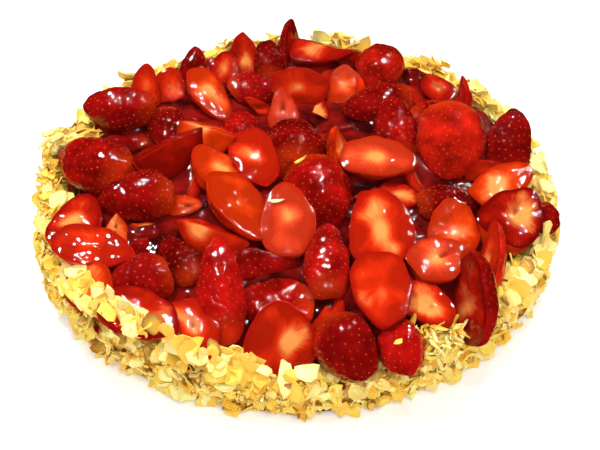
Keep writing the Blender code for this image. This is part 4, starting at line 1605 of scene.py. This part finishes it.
def almond_ground():
    """The crust's mesh with how thickly the almonds lie on it."""
    ground = bpy.data.objects["pastry_case"].data.copy()
    ground.materials.clear()
    normals = vectors(ground.vertices, "normal")
    points = vectors(ground.vertices, "co")
    radius = np.hypot(points[:, 0], points[:, 1])
    shown = (radius > ALMONDS_FROM) & (points[:, 2] > ALMONDS_OVER)
    shown &= normals[:, 2] > ALMONDS_LOOK
    put(ground, "cover", "FLOAT", shown.astype(float))
    return ground


def crust_reach():
    """How far out the almonds may reach: as far as the solid does on its widest side."""
    low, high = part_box("flan_base")
    return max(-low.x, high.x, -low.y, high.y)


def flake_kinds(finish, rng):
    """Kinds of flake, each of its own size, outline and curl."""
    return [
        almond_flake(
            finish.flake_length * rng.uniform(0.6, 1.25),
            finish.flake_length * rng.uniform(0.45, 0.7),
            rng.uniform(0.5, 0.8) * MM, rng.uniform(-2.2, 3.6) * MM, rng,
        )
        for _ in range(FLAKE_KINDS)
    ]


class FLAN_OT_almonds(bpy.types.Operator):
    """Strew flaked almonds and chips over the wall and the border."""

    bl_idname = "flan.almonds"
    bl_label = "Almonds"

    def execute(self, context):
        finish = settings().almonds
        rng = random.Random(finish.seed)
        flakes = kinds_of("flake", flake_kinds(finish, rng))
        chips = kinds_of("chip", [
            almond_chip(finish.chip_length * rng.uniform(0.6, 1.4), rng)
            for _ in range(CHIP_KINDS)
        ])
        material = toasted_almond(finish)
        tree = surface_tree()
        strewings = (
            ("almond_flakes", flakes, finish.flake_density, 0.6, 1.15, 0.75, 0.9 * MM, 11),
            ("almond_chips", chips, finish.chip_density, 0.45, 1.2, 0.8, 0.9 * MM, 23),
        )
        for name, kinds, density, smallest, largest, lean, lift, seed in strewings:
            mesh = strewn_mesh(
                tree, almond_ground(),
                {
                    "Kinds": kinds, "Density": density, "Smallest": smallest,
                    "Largest": largest, "Lean": lean, "Spin": math.pi, "Lift": lift,
                    "Seed": seed, "Material": material,
                },
            )
            held_in(mesh, crust_reach(), ALMOND_FOOT)
            finish_piece(mesh, name, ["flan_base"], crisp=True)
            clear_kinds(kinds)
        return {"FINISHED"}


def surface_under(names):
    """A search tree of the finished pieces, for laying things on them."""
    points = []
    faces = []
    for name in names:
        mesh = bpy.data.objects[name].data
        base = len(points)
        points += [tuple(v.co) for v in mesh.vertices]
        faces += [[base + i for i in p.vertices] for p in mesh.polygons]
    return BVHTree.FromPolygons(points, faces)


def strewn_places(strewing, rng):
    """Places by chance within a range of azimuths and distances from the middle."""
    places = []
    for _ in range(strewing.count):
        azimuth = math.radians(rng.uniform(*strewing.azimuths))
        radius = rng.uniform(*strewing.radii)
        heading = rng.uniform(0.0, 360.0)
        heap = rng.uniform(0.0, 1.0) * strewing.heap
        places.append(Stray(radius * math.cos(azimuth), radius * math.sin(azimuth), heading, heap))
    return places


def resting_place(spot, ground, fruit, heaped, on_feet):
    """Where a loose almond comes to lie, the way that it faces and where it points, if any."""
    above = Vector((spot.x * MM, spot.y * MM, DROP_HEIGHT))
    hit, facing, _, _ = ground.ray_cast(above, -UP)
    berry, skin, _, _ = fruit.ray_cast(above, -UP)
    if hit is None:
        return None
    heap = spot.heap * MM
    if berry is not None and berry.z > hit.z:
        inside = math.hypot(spot.x, spot.y) < FEET_FROM
        if heaped and (inside or berry.z > FEET_HEIGHT or not on_feet):
            return None
        hit, facing = berry, skin
        heap = 0.0
    turn = math.radians(spot.heading)
    toward = Vector((math.cos(turn), math.sin(turn), 0.0))
    if heaped:
        outward = Vector((spot.x, spot.y, 0.0)).normalized()
        facing = HEAP_LEAN * outward + UP
        toward = toward + HEAP_RISE * UP
        hit.z += heap
    return hit, facing, toward


class FLAN_OT_strays(bpy.types.Operator):
    """Lay loose flakes along the border, shreds at its front and strays on the berries."""

    bl_idname = "flan.strays"
    bl_label = "Loose almonds"

    def execute(self, context):
        finish = settings().almonds
        rng = random.Random(finish.seed + 1)
        names = [o.name for o in bpy.data.objects if o.name.startswith(("strawberry_", "sunk_"))]
        names = [name for name in names if name != "strawberry_seeds"]
        ground = surface_under(["red_jelly", "pastry_case", "almond_flakes"])
        fruit = surface_under(names)
        border = [place for part in BORDER_FLAKES for place in strewn_places(part, rng)]
        feet = strewn_places(FEET_FLAKES, rng)
        border += feet
        mat = [place for part in SHREDS for place in strewn_places(part, rng)]
        flakes = flake_kinds(finish, rng)
        shreds = [
            almond_flake(
                rng.uniform(6, 11) * MM, rng.uniform(1.0, 2.0) * MM, 0.8 * MM, 1.5 * MM, rng
            )
            for _ in range(SHRED_KINDS)
        ]
        sliver = almond_flake(7.5 * MM, 1.7 * MM, 0.8 * MM, 0.8 * MM, random.Random(2))
        for name, spots, kinds, smallest, largest, lean, lift in (
            ("stray_flakes", STRAY_FLAKES, flakes[:3], 0.4, 0.6, 0.2, 0.4 * MM),
            ("border_flakes", border, flakes, 0.9, 1.5, 0.6, 0.5 * MM),
            ("almond_shreds", mat, shreds, 0.8, 1.2, 0.6, 0.6 * MM),
            ("almond_slivers", STRAY_SLIVERS, [sliver], 0.9, 1.1, 0.1, 0.8 * MM),
        ):
            heaped = spots in (border, mat)
            found = [resting_place(s, ground, fruit, heaped, s in feet) for s in spots]
            points, facings, towards = zip(*(place for place in found if place))
            group = kinds_of(f"{name}_kind", kinds)
            mesh = strewn_mesh(
                placed_tree(), place_points(name, points, facings, towards),
                {
                    "Kinds": group, "Smallest": smallest, "Largest": largest, "Lean": lean,
                    "Spin": 0.5, "Lift": lift, "Seed": 2, "Material": bpy.data.materials[ALMOND],
                },
            )
            clear_kinds(group)
            held_in(mesh, crust_reach(), ALMOND_FOOT)
            finish_piece(mesh, name, [], crisp=True)
        return {"FINISHED"}


# The studio's lamps, all turned to the middle of the flan: place and size in metres, power in
# watts, and whether the glaze mirrors the lamp
Lamp = namedtuple("Lamp", "name place width height power mirrored")
LAMPS = (
    Lamp("key", (-0.35, 0.35, 1.0), 0.09, 0.03, 8.0, True),
    Lamp("window", (0.45, 0.6, 0.9), 0.02, 0.18, 3.0, True),
    Lamp("side", (-0.9, -0.1, 0.7), 0.04, 0.22, 1.6, False),
    Lamp("overhead", (0.12, -0.15, 1.1), 0.04, 0.012, 0.9, True),
    Lamp("fill", (0.3, -0.9, 1.2), 1.2, 0.8, 11.0, False),
)
SKY_STRENGTH = 0.42
FLOOR_REACH = 6.0
# The point of the flan that the photograph is centred on
CAMERA_TARGET = Vector((0.0022, -0.0186, 0.0163))
SENSOR_WIDTH = 36.0


def soft_box(lamp):
    """An oval area light that looks at the middle of the flan."""
    data = bpy.data.lights.new(lamp.name, "AREA")
    data.shape = "ELLIPSE"
    data.size = lamp.width
    data.size_y = lamp.height
    data.energy = lamp.power
    box = linked(lamp.name, data)
    box.location = lamp.place
    box.rotation_euler = (-Vector(lamp.place)).to_track_quat("-Z", "Y").to_euler()
    box.visible_glossy = lamp.mirrored


class FLAN_OT_stage(bpy.types.Operator):
    """Set up the floor, the soft light and the camera."""

    bl_idname = "flan.stage"
    bl_label = "Stage"

    def execute(self, context):
        stage = settings().stage
        scene = context.scene
        mesh = bpy.data.meshes.new("floor")
        corners = [
            (x * FLOOR_REACH, y * FLOOR_REACH, 0.0) for x, y in ((-1, -1), (1, -1), (1, 1), (-1, 1))
        ]
        mesh.from_pydata(corners, [], [(0, 1, 2, 3)])
        mesh.materials.append(studio_floor(tuple(stage.floor)))
        floor = linked("floor", mesh)
        floor.visible_glossy = False

        world = bpy.data.worlds.new("studio")
        world.use_nodes = True
        sky = world.node_tree.nodes["Background"]
        sky.inputs["Color"].default_value = (1.0, 1.0, 1.0, 1.0)
        sky.inputs["Strength"].default_value = SKY_STRENGTH
        world.cycles_visibility.glossy = False
        scene.world = world
        for lamp in LAMPS:
            soft_box(lamp)
        scene.view_settings.view_transform = "Standard"

        data = bpy.data.cameras.new("camera")
        data.lens = stage.lens
        data.sensor_width = SENSOR_WIDTH
        data.clip_start = 0.01
        camera = linked("camera", data)
        back = Vector((0.0, -math.cos(stage.elevation), math.sin(stage.elevation)))
        camera.location = CAMERA_TARGET + back * stage.distance
        camera.rotation_euler = (math.pi / 2.0 - stage.elevation, 0.0, 0.0)
        scene.camera = camera
        return {"FINISHED"}


class FlanSettings(bpy.types.PropertyGroup):
    """All that a user can change."""

    berries: PointerProperty(type=BerryFinish, name="Berries", description="Strawberries")
    jelly: PointerProperty(type=JellyFinish, name="Jelly", description="Jelly")
    almonds: PointerProperty(type=AlmondFinish, name="Almonds", description="Almonds and crust")
    stage: PointerProperty(type=StageFinish, name="Stage", description="Camera, light, floor")


OPERATORS = (
    FLAN_OT_strawberries,
    FLAN_OT_sunk_strawberries,
    FLAN_OT_seeds,
    FLAN_OT_jelly,
    FLAN_OT_case,
    FLAN_OT_almonds,
    FLAN_OT_strays,
    FLAN_OT_stage,
)


class FLAN_PT_panel(bpy.types.Panel):
    """Lists the steps that make the flan."""

    bl_idname = "FLAN_PT_panel"
    bl_label = "Strawberry flan"
    bl_space_type = "VIEW_3D"
    bl_region_type = "UI"
    bl_category = "Flan"

    def draw(self, context):
        for operator in OPERATORS:
            self.layout.operator(operator.bl_idname)


CLASSES = (
    BerryFinish, JellyFinish, AlmondFinish, StageFinish, FlanSettings, *OPERATORS, FLAN_PT_panel,
)


def register():
    """Make the settings, the steps and the panel known to Blender."""
    for cls in CLASSES:
        bpy.utils.register_class(cls)
    bpy.types.Scene.flan = PointerProperty(type=FlanSettings)


def unregister():
    """Undo what register does."""
    del bpy.types.Scene.flan
    for cls in reversed(CLASSES):
        bpy.utils.unregister_class(cls)


def main():
    """Make the flan and its stage."""
    register()
    for operator in OPERATORS:
        group, name = operator.bl_idname.split(".")
        getattr(getattr(bpy.ops, group), name)()


if __name__ == "__main__":
    main()
